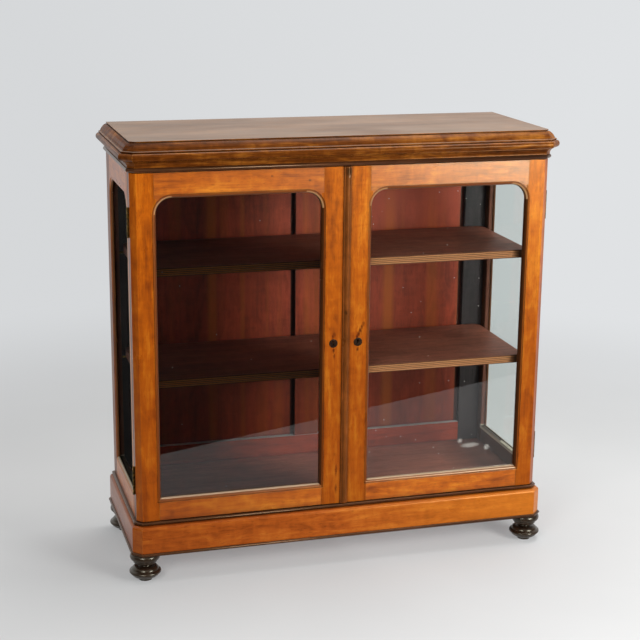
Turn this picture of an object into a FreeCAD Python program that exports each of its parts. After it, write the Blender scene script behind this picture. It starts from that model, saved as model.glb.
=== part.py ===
import FreeCAD, Part

import math
import os

from FreeCAD import Vector

# A glazed dwarf bookcase: a carcass with glazed sides, a framed and panelled back, two loose
# shelves, a moulded top and a canted plinth on four turned feet, closed by two glazed doors that
# lie over the front edge of the carcass and swing on butt hinges.
#
# Millimetres. X runs to the right, Y runs to the back, Z runs up. The origin is on the floor, at
# the centre of the whole piece.

# ---------------------------------------------------------------- driving dimensions
# The carcass
CARCASS_W = 1016.0          # across the side frames and across the pair of doors
CARCASS_D = 366.0           # from the face of the doors to the back
CANT = 13.0                 # leg of the canted front corners

# Heights, from the floor up
PLINTH_H = 72.5
BASE_BEAD_H = 7.5
DOOR_H = 830.0
CORNICE_BEAD_H = 10.0
DOOR_GAP_BELOW = 1.5        # between the base bead and a door
DOOR_GAP_ABOVE = 2.0        # between a door and the cornice bead

# Mouldings: how far each stands out from the carcass
COVE_FOOT_OUT = 4.0
COVE_H = 14.0
CORNICE_FILLET_OUT = 12.5
CORNICE_FILLET_H = 2.5
TORUS_ROOT_OUT = 15.5
TORUS_OUT = 24.3
TORUS_H = 18.0
CORNICE_BEAD_OUT = 7.0
TOP_LISTEL_OUT = 17.5       # lower, widest listel of the top board's edge
TOP_LISTEL_H = 4.5
TOP_SPLAY_OUT = 13.5        # foot of the splay above the listel
TOP_SPLAY_IN = 0.5          # head of the splay, inside the carcass line
TOP_SPLAY_H = 16.2
TOP_SPLAY_BULGE = 2.0
TOP_QUIRK_IN = 4.0
TOP_QUIRK_H = 1.8
TOP_LIP_IN = 1.5
TOP_LIP_H = 2.0
BASE_BEAD_OUT = 6.75
PLINTH_OUT = 12.5           # face of the plinth outside the side frames
PLINTH_STEP = 7.0           # the plinth stands this much further forward than out
PLINTH_OVOLO_H = 8.0
PLINTH_OVOLO_W = 8.0
PLINTH_BEAD_OUT = 4.5       # bottom bead, outside the face of the plinth
PLINTH_BEAD_H = 7.5
CANT_DEPTH = 18.0           # thickness of the canted corner pieces of the mouldings
TOP_CORE_IN = 10.0          # where the flat of the top board meets its moulded edge

# Plinth and feet
PLINTH_T = 20.0
BLOCK_SIZE = 45.0
FOOT_INSET = 30.5           # foot centre inside the face of the plinth
FOOT_R = 38.0               # widest ring
FOOT_TOP_R = 36.0           # collar under the plinth
FOOT_PAD_R = 16.0
FOOT_PAD_H = 5.0
FOOT_FLARE_H = 3.0          # from the pad out to the bun
FOOT_RINGS_IN = ((14.0, 7.0, 4.0), (3.0, 0.0, 3.5), (6.0, 7.5, 14.0))
# ^ the bun's rings, from the lowest: foot, bulge and top of each, inside FOOT_R
FOOT_RING_H = 8.0
FOOT_GROOVE = 1.5           # between two rings
FOOT_NECK_R = 14.5
FOOT_NECK_FLARE = 4.0       # how much wider the hollow of the neck starts and ends
FOOT_NECK_H = 6.5
FOOT_BEAD_IN = 6.0          # quarter-round bead under the collar, inside it
FOOT_BEAD_H = 10.0
FOOT_COLLAR_H = 16.0
FOOT_COLLAR_BULGE = 4.0
FOOT_TENON_R = 8.0
FOOT_TENON_L = 32.0

# Side frames
SIDE_T = 20.0
SIDE_FRONT_STILE_W = 36.0
SIDE_BACK_STILE_W = 48.0
SIDE_TOP_RAIL_SHOWN = 59.0  # below the cornice bead
SIDE_BOTTOM_RAIL_SHOWN = 54.5
SIDE_LIP = 7.0              # wood in front of the glass
SIDE_OVOLO_R = 5.5          # moulding round the opening

# Doors
DOOR_T = 22.0
DOOR_LIP = 12.0
DOOR_OVOLO_R = 9.0
DOOR_BACK_GAP = 1.0         # between a closed door and the front edge of the carcass
HINGE_STILE_W = 53.5
MEETING_STILE_SHOWN = 48.0  # beside the astragal
DOOR_TOP_RAIL_W = 54.0
DOOR_BOTTOM_RAIL_W = 49.0
DOOR_MEETING_GAP = 0.4      # between the two doors
ASTRAGAL_W = 18.0
ASTRAGAL_OUT = 7.0
ASTRAGAL_EDGE_OUT = 3.0

# What the glazed frames share
CORNER_R = 41.0             # rounded upper corners of the openings
STICKING_W = 4.0            # part of the moulding round an opening that is worked in the face
STICKING_STEP = 1.0         # sinking of that moulding
REBATE_W = 8.0
GLASS_T = 3.0
GLASS_PLAY = 2.0            # between the edge of the glass and its rebate
TENON_T = 6.0
TENON_L = 18.0
TENON_SHOULDER = 9.0        # wood left outside a tenon
TENON_INSET = 3.0           # wood left between a tenon and the rebate

# Back
BACK_T = 22.0
BACK_STILE_W = 57.0
BACK_MUNTIN_W = 64.0
BACK_RAIL_W = 70.0
BACK_PANEL_T = 8.0
BACK_REBATE_W = 8.0

# Inside
BOTTOM_T = 18.0
FRONT_RAIL_W = 65.5
FRONT_RAIL_T = 22.0
SHELF_T = 20.0
SHELF_END_GAP = 10.0
SHELF_FRONT_GAP = 9.0       # behind the carcass front
SHELF_BACK_GAP = 2.0
SHELF_CORNER_R = 22.0
SHELF_HEIGHTS = {"shelf_lower": 485.0, "shelf_upper": 753.0}    # top surfaces, above the floor
REEDS = 4
REED_EDGE = 1.6             # flat left above and below the reeds
REED_DEPTH = 1.6
PIN_R = 2.5
PIN_IN = 12.0
PIN_OUT = 20.0
PIN_FROM_BACK = 13.0        # back pins in front of the back frame
PIN_COLLAR_R = 4.5
PIN_COLLAR_T = 1.5

# Hinges
HINGE_H = 70.0
HINGE_FROM_TOP = 114.0      # centre of the upper hinge below the top of the door
HINGE_FROM_BOTTOM = 98.0
HINGE_KNUCKLES = 5
HINGE_KNUCKLE_R = 2.7
HINGE_KNUCKLE_CLEAR = 0.3   # between a knuckle and the side of the bookcase
HINGE_KNUCKLE_GAP = 0.4
HINGE_PIN_R = 1.1
HINGE_PIN_PLAY = 0.05
HINGE_LEAF_W = 16.0
HINGE_LEAF_T = 1.8
HINGE_LEAF_GAP = 0.3        # between the two leaves of a closed hinge
HINGE_SCREWS = 3
SCREW_HEAD_R = 2.8
SCREW_SHANK_R = 1.5
SCREW_HEAD_H = 1.3
SCREW_L = 13.0
SCREW_SLOT_W = 0.7
SCREW_SLOT_D = 0.5

# Lock, escutcheons and flush bolt
LOCK_Z = 559.0
KEYHOLE_IN = 21.5           # beside the astragal
ESCUTCHEON_R = 10.5
ESCUTCHEON_T = 2.2
ESCUTCHEON_PROUD = 1.0
KEYHOLE_R = 3.2
KEYHOLE_SLOT_W = 2.6
KEYHOLE_SLOT_H = 9.0
DUMMY_KEYHOLE_DEPTH = 6.0
LOCK_BEHIND_KEY = 14.5      # how far the case runs past the keyhole
LOCK_H = 50.0
LOCK_D = 10.0
LOCK_WALL = 1.5
LOCK_BOLT_H = 10.0
LOCK_BOLT_T = 5.0
LOCK_BOLT_L = 30.0
LOCK_THROW = 7.0
BOLT_PLAY = 0.4
FLUSH_PLATE_W = 14.0
FLUSH_PLATE_H = 80.0
FLUSH_PLATE_T = 1.8
FLUSH_BOLT_R = 3.0
FLUSH_THROW = 8.0
FLUSH_KNOB_R = 2.5
FLUSH_KNOB_OUT = 3.0        # behind the plate
FLUSH_KNOB_DROP = 52.0      # below the top of the door

# ---------------------------------------------------------------- places worked out from them
HALF_W = CARCASS_W / 2
PLINTH_FRONT_OUT = PLINTH_STEP + PLINTH_OUT + max(PLINTH_BEAD_OUT, FOOT_R - FOOT_INSET)
FRONT_OUT = max(PLINTH_FRONT_OUT, TORUS_OUT, TOP_LISTEL_OUT)
BACK_Y = (CARCASS_D + FRONT_OUT) / 2
FACE_Y = BACK_Y - CARCASS_D                 # face of the doors
DOOR_BACK_Y = FACE_Y + DOOR_T
CARCASS_FRONT_Y = DOOR_BACK_Y + DOOR_BACK_GAP
FRONT_IN = CARCASS_FRONT_Y - FACE_Y         # how far the front mouldings reach behind the face

FOOT_BUN_H = len(FOOT_RINGS_IN) * (FOOT_RING_H + FOOT_GROOVE) - FOOT_GROOVE
FOOT_H = FOOT_PAD_H + FOOT_FLARE_H + FOOT_BUN_H + FOOT_NECK_H + FOOT_BEAD_H + FOOT_COLLAR_H
CORNICE_H = COVE_H + CORNICE_FILLET_H + TORUS_H
TOP_T = TOP_LISTEL_H + TOP_SPLAY_H + TOP_QUIRK_H + TOP_LIP_H
PLINTH_Z = FOOT_H
CARCASS_Z = PLINTH_Z + PLINTH_H
DOOR_Z = CARCASS_Z + BASE_BEAD_H + DOOR_GAP_BELOW
DOOR_TOP_Z = DOOR_Z + DOOR_H
CORNICE_BEAD_Z = DOOR_TOP_Z + DOOR_GAP_ABOVE
CORNICE_Z = CORNICE_BEAD_Z + CORNICE_BEAD_H
TOP_Z = CORNICE_Z + CORNICE_H
HEIGHT = TOP_Z + TOP_T

INSIDE_X = HALF_W - SIDE_T
BACK_FRAME_Y = BACK_Y - BACK_T
MEETING_X = -ASTRAGAL_W / 2                 # the right door starts here, under the astragal
SIGHT_X = ASTRAGAL_W / 2 + MEETING_STILE_SHOWN
KEYHOLE_X = ASTRAGAL_W / 2 + KEYHOLE_IN
LOCK_END_X = KEYHOLE_X + LOCK_BEHIND_KEY
HINGE_X = -(HALF_W + HINGE_KNUCKLE_R + HINGE_KNUCKLE_CLEAR)     # left-hand axis
HINGE_Y = (DOOR_BACK_Y + CARCASS_FRONT_Y) / 2
HINGE_CENTRES = (DOOR_Z + HINGE_FROM_BOTTOM, DOOR_TOP_Z - HINGE_FROM_TOP)

UP = Vector(0, 0, 1)
RIGHT = Vector(1, 0, 0)
BACK = Vector(0, 1, 0)
SLACK = 1.0                                 # a cutting tool runs this far past what it cuts


# ---------------------------------------------------------------- helpers
def box(x0, x1, y0, y1, z0, z1):
    return Part.makeBox(x1 - x0, y1 - y0, z1 - z0, Vector(x0, y0, z0))


def cylinder(radius, length, start, direction):
    return Part.makeCylinder(radius, length, start, direction)


def mirrored(shape):
    return shape.mirror(Vector(0, 0, 0), RIGHT)


def fused(shapes):
    whole = shapes[0]
    for shape in shapes[1:]:
        whole = whole.fuse(shape)
    return whole.removeSplitter()


def face_from(start, steps, place):
    """A face from a closed outline. A step is the next point, or the (middle, end) of an arc."""
    edges = []
    here = place(*start)
    for step in list(steps) + [start]:
        if isinstance(step[0], tuple):
            middle, end = place(*step[0]), place(*step[1])
            edges.append(Part.Arc(here, middle, end).toShape())
        else:
            end = place(*step)
            edges.append(Part.makeLine(here, end))
        here = end
    return Part.Face(Part.Wire(edges))


def canted_path(front_y, half_w=HALF_W):
    """Plan of the front and sides, from the back left corner round to the back right one."""
    left = [(-half_w, BACK_Y), (-half_w, front_y + CANT), (-half_w + CANT, front_y)]
    return left + [(-x, y) for x, y in reversed(left)]


def mitre(path, index):
    """Vector from a corner of the path along its mitre, for one millimetre of projection."""
    normals = []
    if index > 0:
        normals.append(run_normal(path, index - 1))
    if index < len(path) - 1:
        normals.append(run_normal(path, index))
    if len(normals) == 1:
        return normals[0]
    first, second = normals
    return (first + second) * (1 / (1 + first.dot(second)))


def run_normal(path, index):
    (x0, y0), (x1, y1) = path[index], path[index + 1]
    run = Vector(x1 - x0, y1 - y0, 0).normalize()
    return Vector(run.y, -run.x, 0)


def moulding(path, index, start, steps, depth):
    """One run of a moulding along the path, mitred at both ends.

    The outline is in (projection, height). depth is how far it reaches behind the path, or, where
    it is negative, how far outside the path it starts.
    """
    first = Vector(path[index][0], path[index][1], 0)
    last = Vector(path[index + 1][0], path[index + 1][1], 0)
    run = (last - first).normalize()
    normal = run_normal(path, index)
    reach = 3 * FRONT_OUT
    begin = first - run * reach

    def place(out, z):
        return begin + normal * out + UP * z

    bar = face_from(start, steps, place).extrude(run * ((last - first).Length + 2 * reach))
    first_mitre, last_mitre = mitre(path, index), mitre(path, index + 1)
    low = bar.BoundBox.ZMin - SLACK
    corners = [first + first_mitre * reach, last + last_mitre * reach]
    corners += [last - last_mitre * depth, first - first_mitre * depth]
    corners = [corner + UP * low for corner in corners]
    wedge = Part.Face(Part.makePolygon(corners + [corners[0]]))
    return bar.common(wedge.extrude(UP * (bar.BoundBox.ZLength + 2 * SLACK)))


def moulding_set(path, start_steps, side_depth, cant_depth, front_depth):
    """Left, front and right lengths of a moulding. Each canted corner is one piece with its side."""
    left = [moulding(path, run, *start_steps(depth), depth)
            for run, depth in ((0, side_depth), (1, cant_depth))]
    front = moulding(path, 2, *start_steps(front_depth), front_depth)
    side = fused(left)
    return {"left": side, "front": front, "right": mirrored(side)}


# ---------------------------------------------------------------- top and cornice
def top_edge(depth):
    """Edge of the top board: a listel, a low-bellied splay above it, and a lip over a quirk."""
    listel = TOP_Z + TOP_LISTEL_H
    splay = listel + TOP_SPLAY_H
    quirk = splay + TOP_QUIRK_H
    undercut = (TOP_SPLAY_OUT + TOP_LISTEL_OUT) / 2
    slope = TOP_LISTEL_H / 4
    run, rise = TOP_SPLAY_OUT + TOP_SPLAY_IN, TOP_SPLAY_H
    bulge = TOP_SPLAY_BULGE / math.hypot(run, rise)
    middle = (TOP_SPLAY_OUT - run / 2 + rise * bulge, listel + rise / 2 + run * bulge)
    start = (-depth, TOP_Z)
    steps = [(undercut, TOP_Z), (TOP_LISTEL_OUT, TOP_Z + slope), (TOP_LISTEL_OUT, listel - slope),
             (TOP_SPLAY_OUT, listel), (middle, (-TOP_SPLAY_IN, splay)),
             (-TOP_QUIRK_IN, splay), (-TOP_QUIRK_IN, quirk), (-TOP_LIP_IN, quirk),
             (-TOP_LIP_IN, HEIGHT), (-depth, HEIGHT)]
    return start, steps


def top_board():
    path = canted_path(FACE_Y)
    edge = moulding_set(path, top_edge, TOP_CORE_IN, TOP_CORE_IN, TOP_CORE_IN)
    corners = [Vector(x, y, TOP_Z) - mitre(path, index) * TOP_CORE_IN
               for index, (x, y) in enumerate(path)]
    core = Part.Face(Part.makePolygon(corners + [corners[0]])).extrude(UP * TOP_T)
    return fused([core] + list(edge.values()))


def cornice_profile(depth):
    """A torus over a fillet and a cove."""
    torus = TOP_Z - TORUS_H
    fillet = torus - CORNICE_FILLET_H
    cove_out = CORNICE_FILLET_OUT - COVE_FOOT_OUT
    hollow = 1 - math.sqrt(0.5)
    start = (-depth, CORNICE_Z)
    steps = [(COVE_FOOT_OUT, CORNICE_Z),
             ((COVE_FOOT_OUT + cove_out * hollow, fillet - COVE_H * hollow),
              (CORNICE_FILLET_OUT, fillet)),
             (CORNICE_FILLET_OUT, torus), (TORUS_ROOT_OUT, torus),
             ((TORUS_OUT, torus + TORUS_H / 2), (TORUS_ROOT_OUT, TOP_Z)), (-depth, TOP_Z)]
    return start, steps


def half_round(root, out, z0, height):
    """Outline of a bead: half round, from root to out, between two quirks."""
    def steps_for(depth):
        start = (-depth, z0)
        return start, [(root, z0), ((out, z0 + height / 2), (root, z0 + height)), (-depth, z0 + height)]
    return steps_for


def cornice():
    return moulding_set(canted_path(FACE_Y), cornice_profile, 0, CANT_DEPTH, FRONT_IN)


def cornice_bead():
    root = CORNICE_BEAD_OUT - CORNICE_BEAD_H / 2
    profile = half_round(root, CORNICE_BEAD_OUT, CORNICE_BEAD_Z, CORNICE_BEAD_H)
    lengths = moulding_set(canted_path(FACE_Y), profile, 0, CANT_DEPTH, FRONT_IN)
    lengths["front"] = lengths["front"].cut(flush_bolt_socket())
    return Part.makeCompound(list(lengths.values()))


# ---------------------------------------------------------------- plinth and feet
def plinth_path():
    return canted_path(FACE_Y - PLINTH_STEP)


def plinth_profile(depth):
    """A flat board with its upper arris worked to an ovolo."""
    shoulder = CARCASS_Z - PLINTH_OVOLO_H
    inner = PLINTH_OUT - PLINTH_OVOLO_W
    bulge = math.sqrt(0.5)
    middle = (inner + PLINTH_OVOLO_W * bulge, shoulder + PLINTH_OVOLO_H * bulge)
    start = (-depth, PLINTH_Z)
    return start, [(PLINTH_OUT, PLINTH_Z), (PLINTH_OUT, shoulder), (middle, (inner, CARCASS_Z)),
                   (-depth, CARCASS_Z)]


def plinth():
    depth = PLINTH_T - PLINTH_OUT
    boards = moulding_set(plinth_path(), plinth_profile, depth, depth, depth)
    inner = HALF_W - depth
    boards["back"] = box(-inner, inner, BACK_Y - PLINTH_T, BACK_Y, PLINTH_Z, CARCASS_Z)
    return boards


def plinth_beads():
    """The bead under the doors and the one at the foot of the plinth."""
    upper = half_round(BASE_BEAD_OUT - BASE_BEAD_H / 2, BASE_BEAD_OUT, CARCASS_Z, BASE_BEAD_H)
    beads = moulding_set(canted_path(FACE_Y), upper, 0, CANT_DEPTH, FRONT_IN)
    tip = PLINTH_OUT + PLINTH_BEAD_OUT
    root = tip - PLINTH_BEAD_H / 2
    foot = half_round(root, tip, PLINTH_Z, PLINTH_BEAD_H)
    lower = moulding_set(plinth_path(), foot, -PLINTH_OUT, -PLINTH_OUT, -PLINTH_OUT)
    return Part.makeCompound(list(beads.values()) + list(lower.values()))


def foot_places():
    x = HALF_W + PLINTH_OUT - FOOT_INSET
    front = FACE_Y - PLINTH_STEP - PLINTH_OUT + FOOT_INSET
    back = BACK_Y - FOOT_R
    return {"front_left": (-x, front), "front_right": (x, front),
            "back_left": (-x, back), "back_right": (x, back)}


def foot_solid():
    """A turned foot: pad, ringed bun, hollow neck, quarter round, collar and the block's tenon."""
    steps = [(FOOT_PAD_R, 0), (FOOT_PAD_R, FOOT_PAD_H)]
    ring_z = FOOT_PAD_H + FOOT_FLARE_H
    for low_in, bulge_in, high_in in FOOT_RINGS_IN:
        top_z = ring_z + FOOT_RING_H
        steps += [(FOOT_R - low_in, ring_z),
                  ((FOOT_R - bulge_in, (ring_z + top_z) / 2), (FOOT_R - high_in, top_z))]
        ring_z = top_z + FOOT_GROOVE
    bead_z = top_z + FOOT_NECK_H
    collar_z = bead_z + FOOT_BEAD_H
    flare = FOOT_NECK_R + FOOT_NECK_FLARE
    bead = FOOT_TOP_R - FOOT_BEAD_IN
    bead_root = bead - FOOT_BEAD_H
    bulge = FOOT_BEAD_H * math.sqrt(0.5)
    collar = FOOT_TOP_R - FOOT_COLLAR_BULGE
    steps += [(flare, top_z), ((FOOT_NECK_R, (top_z + bead_z) / 2), (flare, bead_z)),
              (bead_root, bead_z), ((bead_root + bulge, collar_z - bulge), (bead, collar_z)),
              (collar, collar_z), ((FOOT_TOP_R, (collar_z + FOOT_H) / 2), (collar, FOOT_H)),
              (FOOT_TENON_R, FOOT_H), (FOOT_TENON_R, FOOT_H + FOOT_TENON_L), (0, FOOT_H + FOOT_TENON_L)]
    profile = face_from((0, 0), steps, lambda r, z: Vector(r, 0, z))
    return profile.revolve(Vector(0, 0, 0), UP, 360)


def feet():
    places = foot_places()
    solid = foot_solid()
    return {name: solid.translated(Vector(x, y, 0)) for name, (x, y) in places.items()}


def corner_blocks():
    """Glue blocks inside the plinth's corners. Each is bored for the tenon of its foot."""
    depth = PLINTH_T - PLINTH_OUT
    path = plinth_path()
    corners = [Vector(x, y, PLINTH_Z) - mitre(path, index) * depth for index, (x, y) in enumerate(path)]
    inner = Part.Face(Part.makePolygon(corners + [corners[0]])).extrude(UP * PLINTH_H)
    x = HALF_W - depth
    front = FACE_Y - PLINTH_STEP + depth
    back = BACK_Y - PLINTH_T
    blocks = []
    for x0, x1 in ((-x, BLOCK_SIZE - x), (x - BLOCK_SIZE, x)):
        blocks.append(box(x0, x1, front, front + BLOCK_SIZE, PLINTH_Z, CARCASS_Z).common(inner))
        blocks.append(box(x0, x1, back - BLOCK_SIZE, back, PLINTH_Z, CARCASS_Z))
    tenons = Part.makeCompound([cylinder(FOOT_TENON_R, FOOT_TENON_L, Vector(px, py, FOOT_H), UP)
                                for px, py in foot_places().values()])
    return Part.makeCompound([block.cut(tenons) for block in blocks])


# ---------------------------------------------------------------- glazed frames
def opening_face(u0, u1, v0, v1, radius, w):
    """Opening with two rounded upper corners, drawn on the plane at depth w."""
    k = radius * (1 - math.sqrt(0.5))
    steps = [(u1, v0), (u1, v1 - radius), ((u1 - k, v1 - k), (u1 - radius, v1)), (u0 + radius, v1),
             ((u0 + k, v1 - k), (u0, v1 - radius))]
    return face_from((u0, v0), steps, lambda u, v: Vector(u, w, v))


def glazed_frame(outer, sight, thickness, lip, ovolo, canted):
    """Stiles, rails, glass and glass beads of one frame.

    Drawn with its face on y = 0, seen from the front: u runs along X, v along Z and the
    thickness along +Y. outer and sight are (u0, u1, v0, v1). The rails meet the stiles in line
    with the sight edges and are tenoned into them. A moulding of radius ovolo stands inward from
    there and leaves the clear opening. The top rail comes with the two small blocks that round
    the upper corners of the opening.
    """
    u0, u1, v0, v1 = outer
    a0, a1, b0, b1 = sight
    inward = ovolo - STICKING_W
    clear = (a0 + inward, a1 - inward, b0 + inward, b1 - inward)
    outline = [Vector(u0 + CANT if canted else u0, 0, v0), Vector(u1, 0, v0),
               Vector(u1, thickness, v0), Vector(u0, thickness, v0)]
    if canted:
        outline.append(Vector(u0, CANT, v0))
    block = Part.Face(Part.makePolygon(outline + [outline[0]])).extrude(UP * (v1 - v0))
    opening = opening_face(*clear, CORNER_R - inward, -SLACK)
    block = block.cut(opening.extrude(BACK * (thickness + 2 * SLACK)))
    wide = STICKING_W + STICKING_STEP
    sinking = opening_face(a0 - wide, a1 + wide, b0 - wide, b1 + wide, CORNER_R + wide, -SLACK)
    block = block.cut(sinking.extrude(BACK * (STICKING_STEP + SLACK)))
    arris = [edge for edge in block.Edges if on_arris(edge, clear)]
    block = block.makeFillet(ovolo, arris)
    rebate = (a0 - REBATE_W, a1 + REBATE_W, b0 - REBATE_W, b1 + REBATE_W)
    block = block.cut(box(rebate[0], rebate[1], lip, thickness + SLACK, rebate[2], rebate[3]))
    beside = [box(a0, clear[0], 0, thickness, b0, clear[3]), box(clear[1], a1, 0, thickness, b0, clear[3])]
    stile_a = block.common(fused([box(u0, a0, 0, thickness, v0, v1), beside[0]]))
    stile_b = block.common(fused([box(a1, u1, 0, thickness, v0, v1), beside[1]]))
    block = block.cut(beside)
    middle = (b0 + b1) / 2
    bottom = block.common(box(a0, a1, 0, thickness, v0, middle))
    top = block.common(box(a0, a1, 0, thickness, clear[3], v1))
    rounded = block.common(box(a0, a1, 0, thickness, middle, clear[3]))
    tenon_y = (thickness - TENON_T) / 2
    for z0, z1, at_top in ((v0 + TENON_SHOULDER, rebate[2] - TENON_INSET, False),
                           (rebate[3] + TENON_INSET, v1 - TENON_SHOULDER, True)):
        tenon = box(a0 - TENON_L, a1 + TENON_L, tenon_y, tenon_y + TENON_T, z0, z1)
        ends = tenon.cut(box(a0, a1, 0, thickness, v0, v1))
        stile_a = stile_a.cut(tenon)
        stile_b = stile_b.cut(tenon)
        if at_top:
            top = fused([top] + ends.Solids)
        else:
            bottom = fused([bottom] + ends.Solids)
    glass = box(rebate[0] + GLASS_PLAY, rebate[1] - GLASS_PLAY, lip, lip + GLASS_T,
                rebate[2] + GLASS_PLAY, rebate[3] - GLASS_PLAY)
    return {"a": stile_a, "b": stile_b, "top_rail": Part.makeCompound([top] + rounded.Solids),
            "bottom_rail": bottom, "glass": glass,
            "beads": glass_beads(rebate, lip + GLASS_T, thickness)}


def on_arris(edge, clear):
    """Whether an edge runs around the clear opening, on the face that the sinking left."""
    a0, a1, b0, b1 = clear
    near = 0.01
    bounds = edge.BoundBox
    flat = abs(bounds.YMin - STICKING_STEP) < near and abs(bounds.YMax - STICKING_STEP) < near
    across = bounds.XMin > a0 - near and bounds.XMax < a1 + near
    upright = bounds.ZMin > b0 - near and bounds.ZMax < b1 + near
    return flat and across and upright


def glass_beads(rebate, y0, y1):
    """Four square strips that hold the glass in its rebate from behind, the long ones between."""
    u0, u1, v0, v1 = rebate
    strips = [box(u0, u1, y0, y1, v0, v0 + REBATE_W), box(u0, u1, y0, y1, v1 - REBATE_W, v1),
              box(u0, u0 + REBATE_W, y0, y1, v0 + REBATE_W, v1 - REBATE_W),
              box(u1 - REBATE_W, u1, y0, y1, v0 + REBATE_W, v1 - REBATE_W)]
    return Part.makeCompound(strips)


def placed_frame(pieces, place):
    return {name: place(shape) for name, shape in pieces.items()}


# ---------------------------------------------------------------- side frames
def side_frame():
    """The right-hand side frame. Its face looks to +X and its front stile stands at the front."""
    outer = (CARCASS_FRONT_Y, BACK_Y, CARCASS_Z, TOP_Z)
    sight = (CARCASS_FRONT_Y + SIDE_FRONT_STILE_W, BACK_Y - SIDE_BACK_STILE_W,
             DOOR_Z - DOOR_GAP_BELOW + SIDE_BOTTOM_RAIL_SHOWN, CORNICE_BEAD_Z - SIDE_TOP_RAIL_SHOWN)
    pieces = glazed_frame(outer, sight, SIDE_T, SIDE_LIP, SIDE_OVOLO_R, False)

    def place(shape):
        turned = shape.copy()
        turned.rotate(Vector(0, 0, 0), UP, 90)
        turned.translate(RIGHT * HALF_W)
        return turned

    return placed_frame(pieces, place)


def sides():
    """Both side frames, bored for the shelf pins and cut for the hinges."""
    right = side_frame()
    frames = {"left": placed_frame(right, mirrored), "right": right}
    tools = {"left": hinge_cut(fixed=True), "right": mirrored(hinge_cut(fixed=True))}
    bores = on_both_sides(pin_shanks())
    for hand, pieces in frames.items():
        pieces["a"] = pieces["a"].cut(bores).cut(tools[hand])
        pieces["b"] = pieces["b"].cut(bores)
    return frames


# ---------------------------------------------------------------- back
def back_frame():
    """Stiles, rails, a muntin and two panels that lie in rebates worked in the back of the frame."""
    y0, y1 = BACK_FRAME_Y, BACK_Y
    panel_y = BACK_Y - BACK_PANEL_T
    stile_x = INSIDE_X - BACK_STILE_W
    muntin_x = BACK_MUNTIN_W / 2
    low, high = CARCASS_Z + BACK_RAIL_W, TOP_Z - BACK_RAIL_W
    stile = box(stile_x, INSIDE_X, y0, y1, CARCASS_Z, TOP_Z)
    muntin = box(-muntin_x, muntin_x, y0, y1, low, high)
    rails = [box(-stile_x, stile_x, y0, y1, CARCASS_Z, low), box(-stile_x, stile_x, y0, y1, high, TOP_Z)]
    panel = box(muntin_x - BACK_REBATE_W, stile_x + BACK_REBATE_W, panel_y, y1,
                low - BACK_REBATE_W, high + BACK_REBATE_W)
    panels = Part.makeCompound([mirrored(panel), panel])
    return {"back_stiles": Part.makeCompound([mirrored(stile).cut(panels), stile.cut(panels)]),
            "back_rails": Part.makeCompound([rail.cut(panels) for rail in rails]),
            "back_muntin": muntin.cut(panels),
            "back_panels": panels}


# ---------------------------------------------------------------- inside
def bottom_board():
    return box(-INSIDE_X, INSIDE_X, CARCASS_FRONT_Y, BACK_FRAME_Y, CARCASS_Z, CARCASS_Z + BOTTOM_T)


def front_top_rail():
    return box(-INSIDE_X, INSIDE_X, CARCASS_FRONT_Y, CARCASS_FRONT_Y + FRONT_RAIL_T,
               TOP_Z - FRONT_RAIL_W, TOP_Z)


def shelf(top_z):
    """A board with a reeded front edge and rounded back corners."""
    x = INSIDE_X - SHELF_END_GAP
    y0, y1 = CARCASS_FRONT_Y + SHELF_FRONT_GAP, BACK_FRAME_Y - SHELF_BACK_GAP
    z0 = top_z - SHELF_T
    pitch = (SHELF_T - 2 * REED_EDGE) / REEDS
    steps = [(y0 + REED_DEPTH, z0 + REED_EDGE)]
    for reed in range(REEDS):
        foot = z0 + REED_EDGE + reed * pitch
        steps.append(((y0, foot + pitch / 2), (y0 + REED_DEPTH, foot + pitch)))
    steps += [(y0 + REED_DEPTH, top_z), (y1, top_z), (y1, z0)]
    section = face_from((y0 + REED_DEPTH, z0), steps, lambda y, z: Vector(-x, y, z))
    board = section.extrude(RIGHT * (2 * x))
    corners = [edge for edge in board.Edges
               if edge.BoundBox.YMin > y1 - SLACK and edge.BoundBox.ZLength > SHELF_T - SLACK]
    return board.makeFillet(SHELF_CORNER_R, corners)


def pin_places():
    """Where the right-hand shelf pins start: in the stiles of the side frame, under each shelf."""
    rows = (CARCASS_FRONT_Y + SIDE_FRONT_STILE_W / 2, BACK_FRAME_Y - PIN_FROM_BACK)
    return [Vector(INSIDE_X - PIN_OUT, y, top_z - SHELF_T - PIN_R)
            for top_z in SHELF_HEIGHTS.values() for y in rows]


def pin_shanks():
    return [cylinder(PIN_R, PIN_IN + PIN_OUT, place, RIGHT) for place in pin_places()]


def shelf_pins():
    """Brass pins with a collar that bears on the stile, four under each shelf."""
    collars = [cylinder(PIN_COLLAR_R, PIN_COLLAR_T, place + RIGHT * (PIN_OUT - PIN_COLLAR_T), RIGHT)
               for place in pin_places()]
    return on_both_sides([fused(pair) for pair in zip(pin_shanks(), collars)])


# ---------------------------------------------------------------- doors
def door(meeting_x):
    """A left-hand door. meeting_x is its free edge."""
    outer = (-HALF_W, meeting_x, DOOR_Z, DOOR_TOP_Z)
    sight = (-HALF_W + HINGE_STILE_W, -SIGHT_X, DOOR_Z + DOOR_BOTTOM_RAIL_W, DOOR_TOP_Z - DOOR_TOP_RAIL_W)
    pieces = glazed_frame(outer, sight, DOOR_T, DOOR_LIP, DOOR_OVOLO_R, True)
    pieces = placed_frame(pieces, lambda shape: shape.translated(BACK * FACE_Y))
    pieces["a"] = pieces["a"].cut(hinge_cut(fixed=False))
    return pieces


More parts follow.
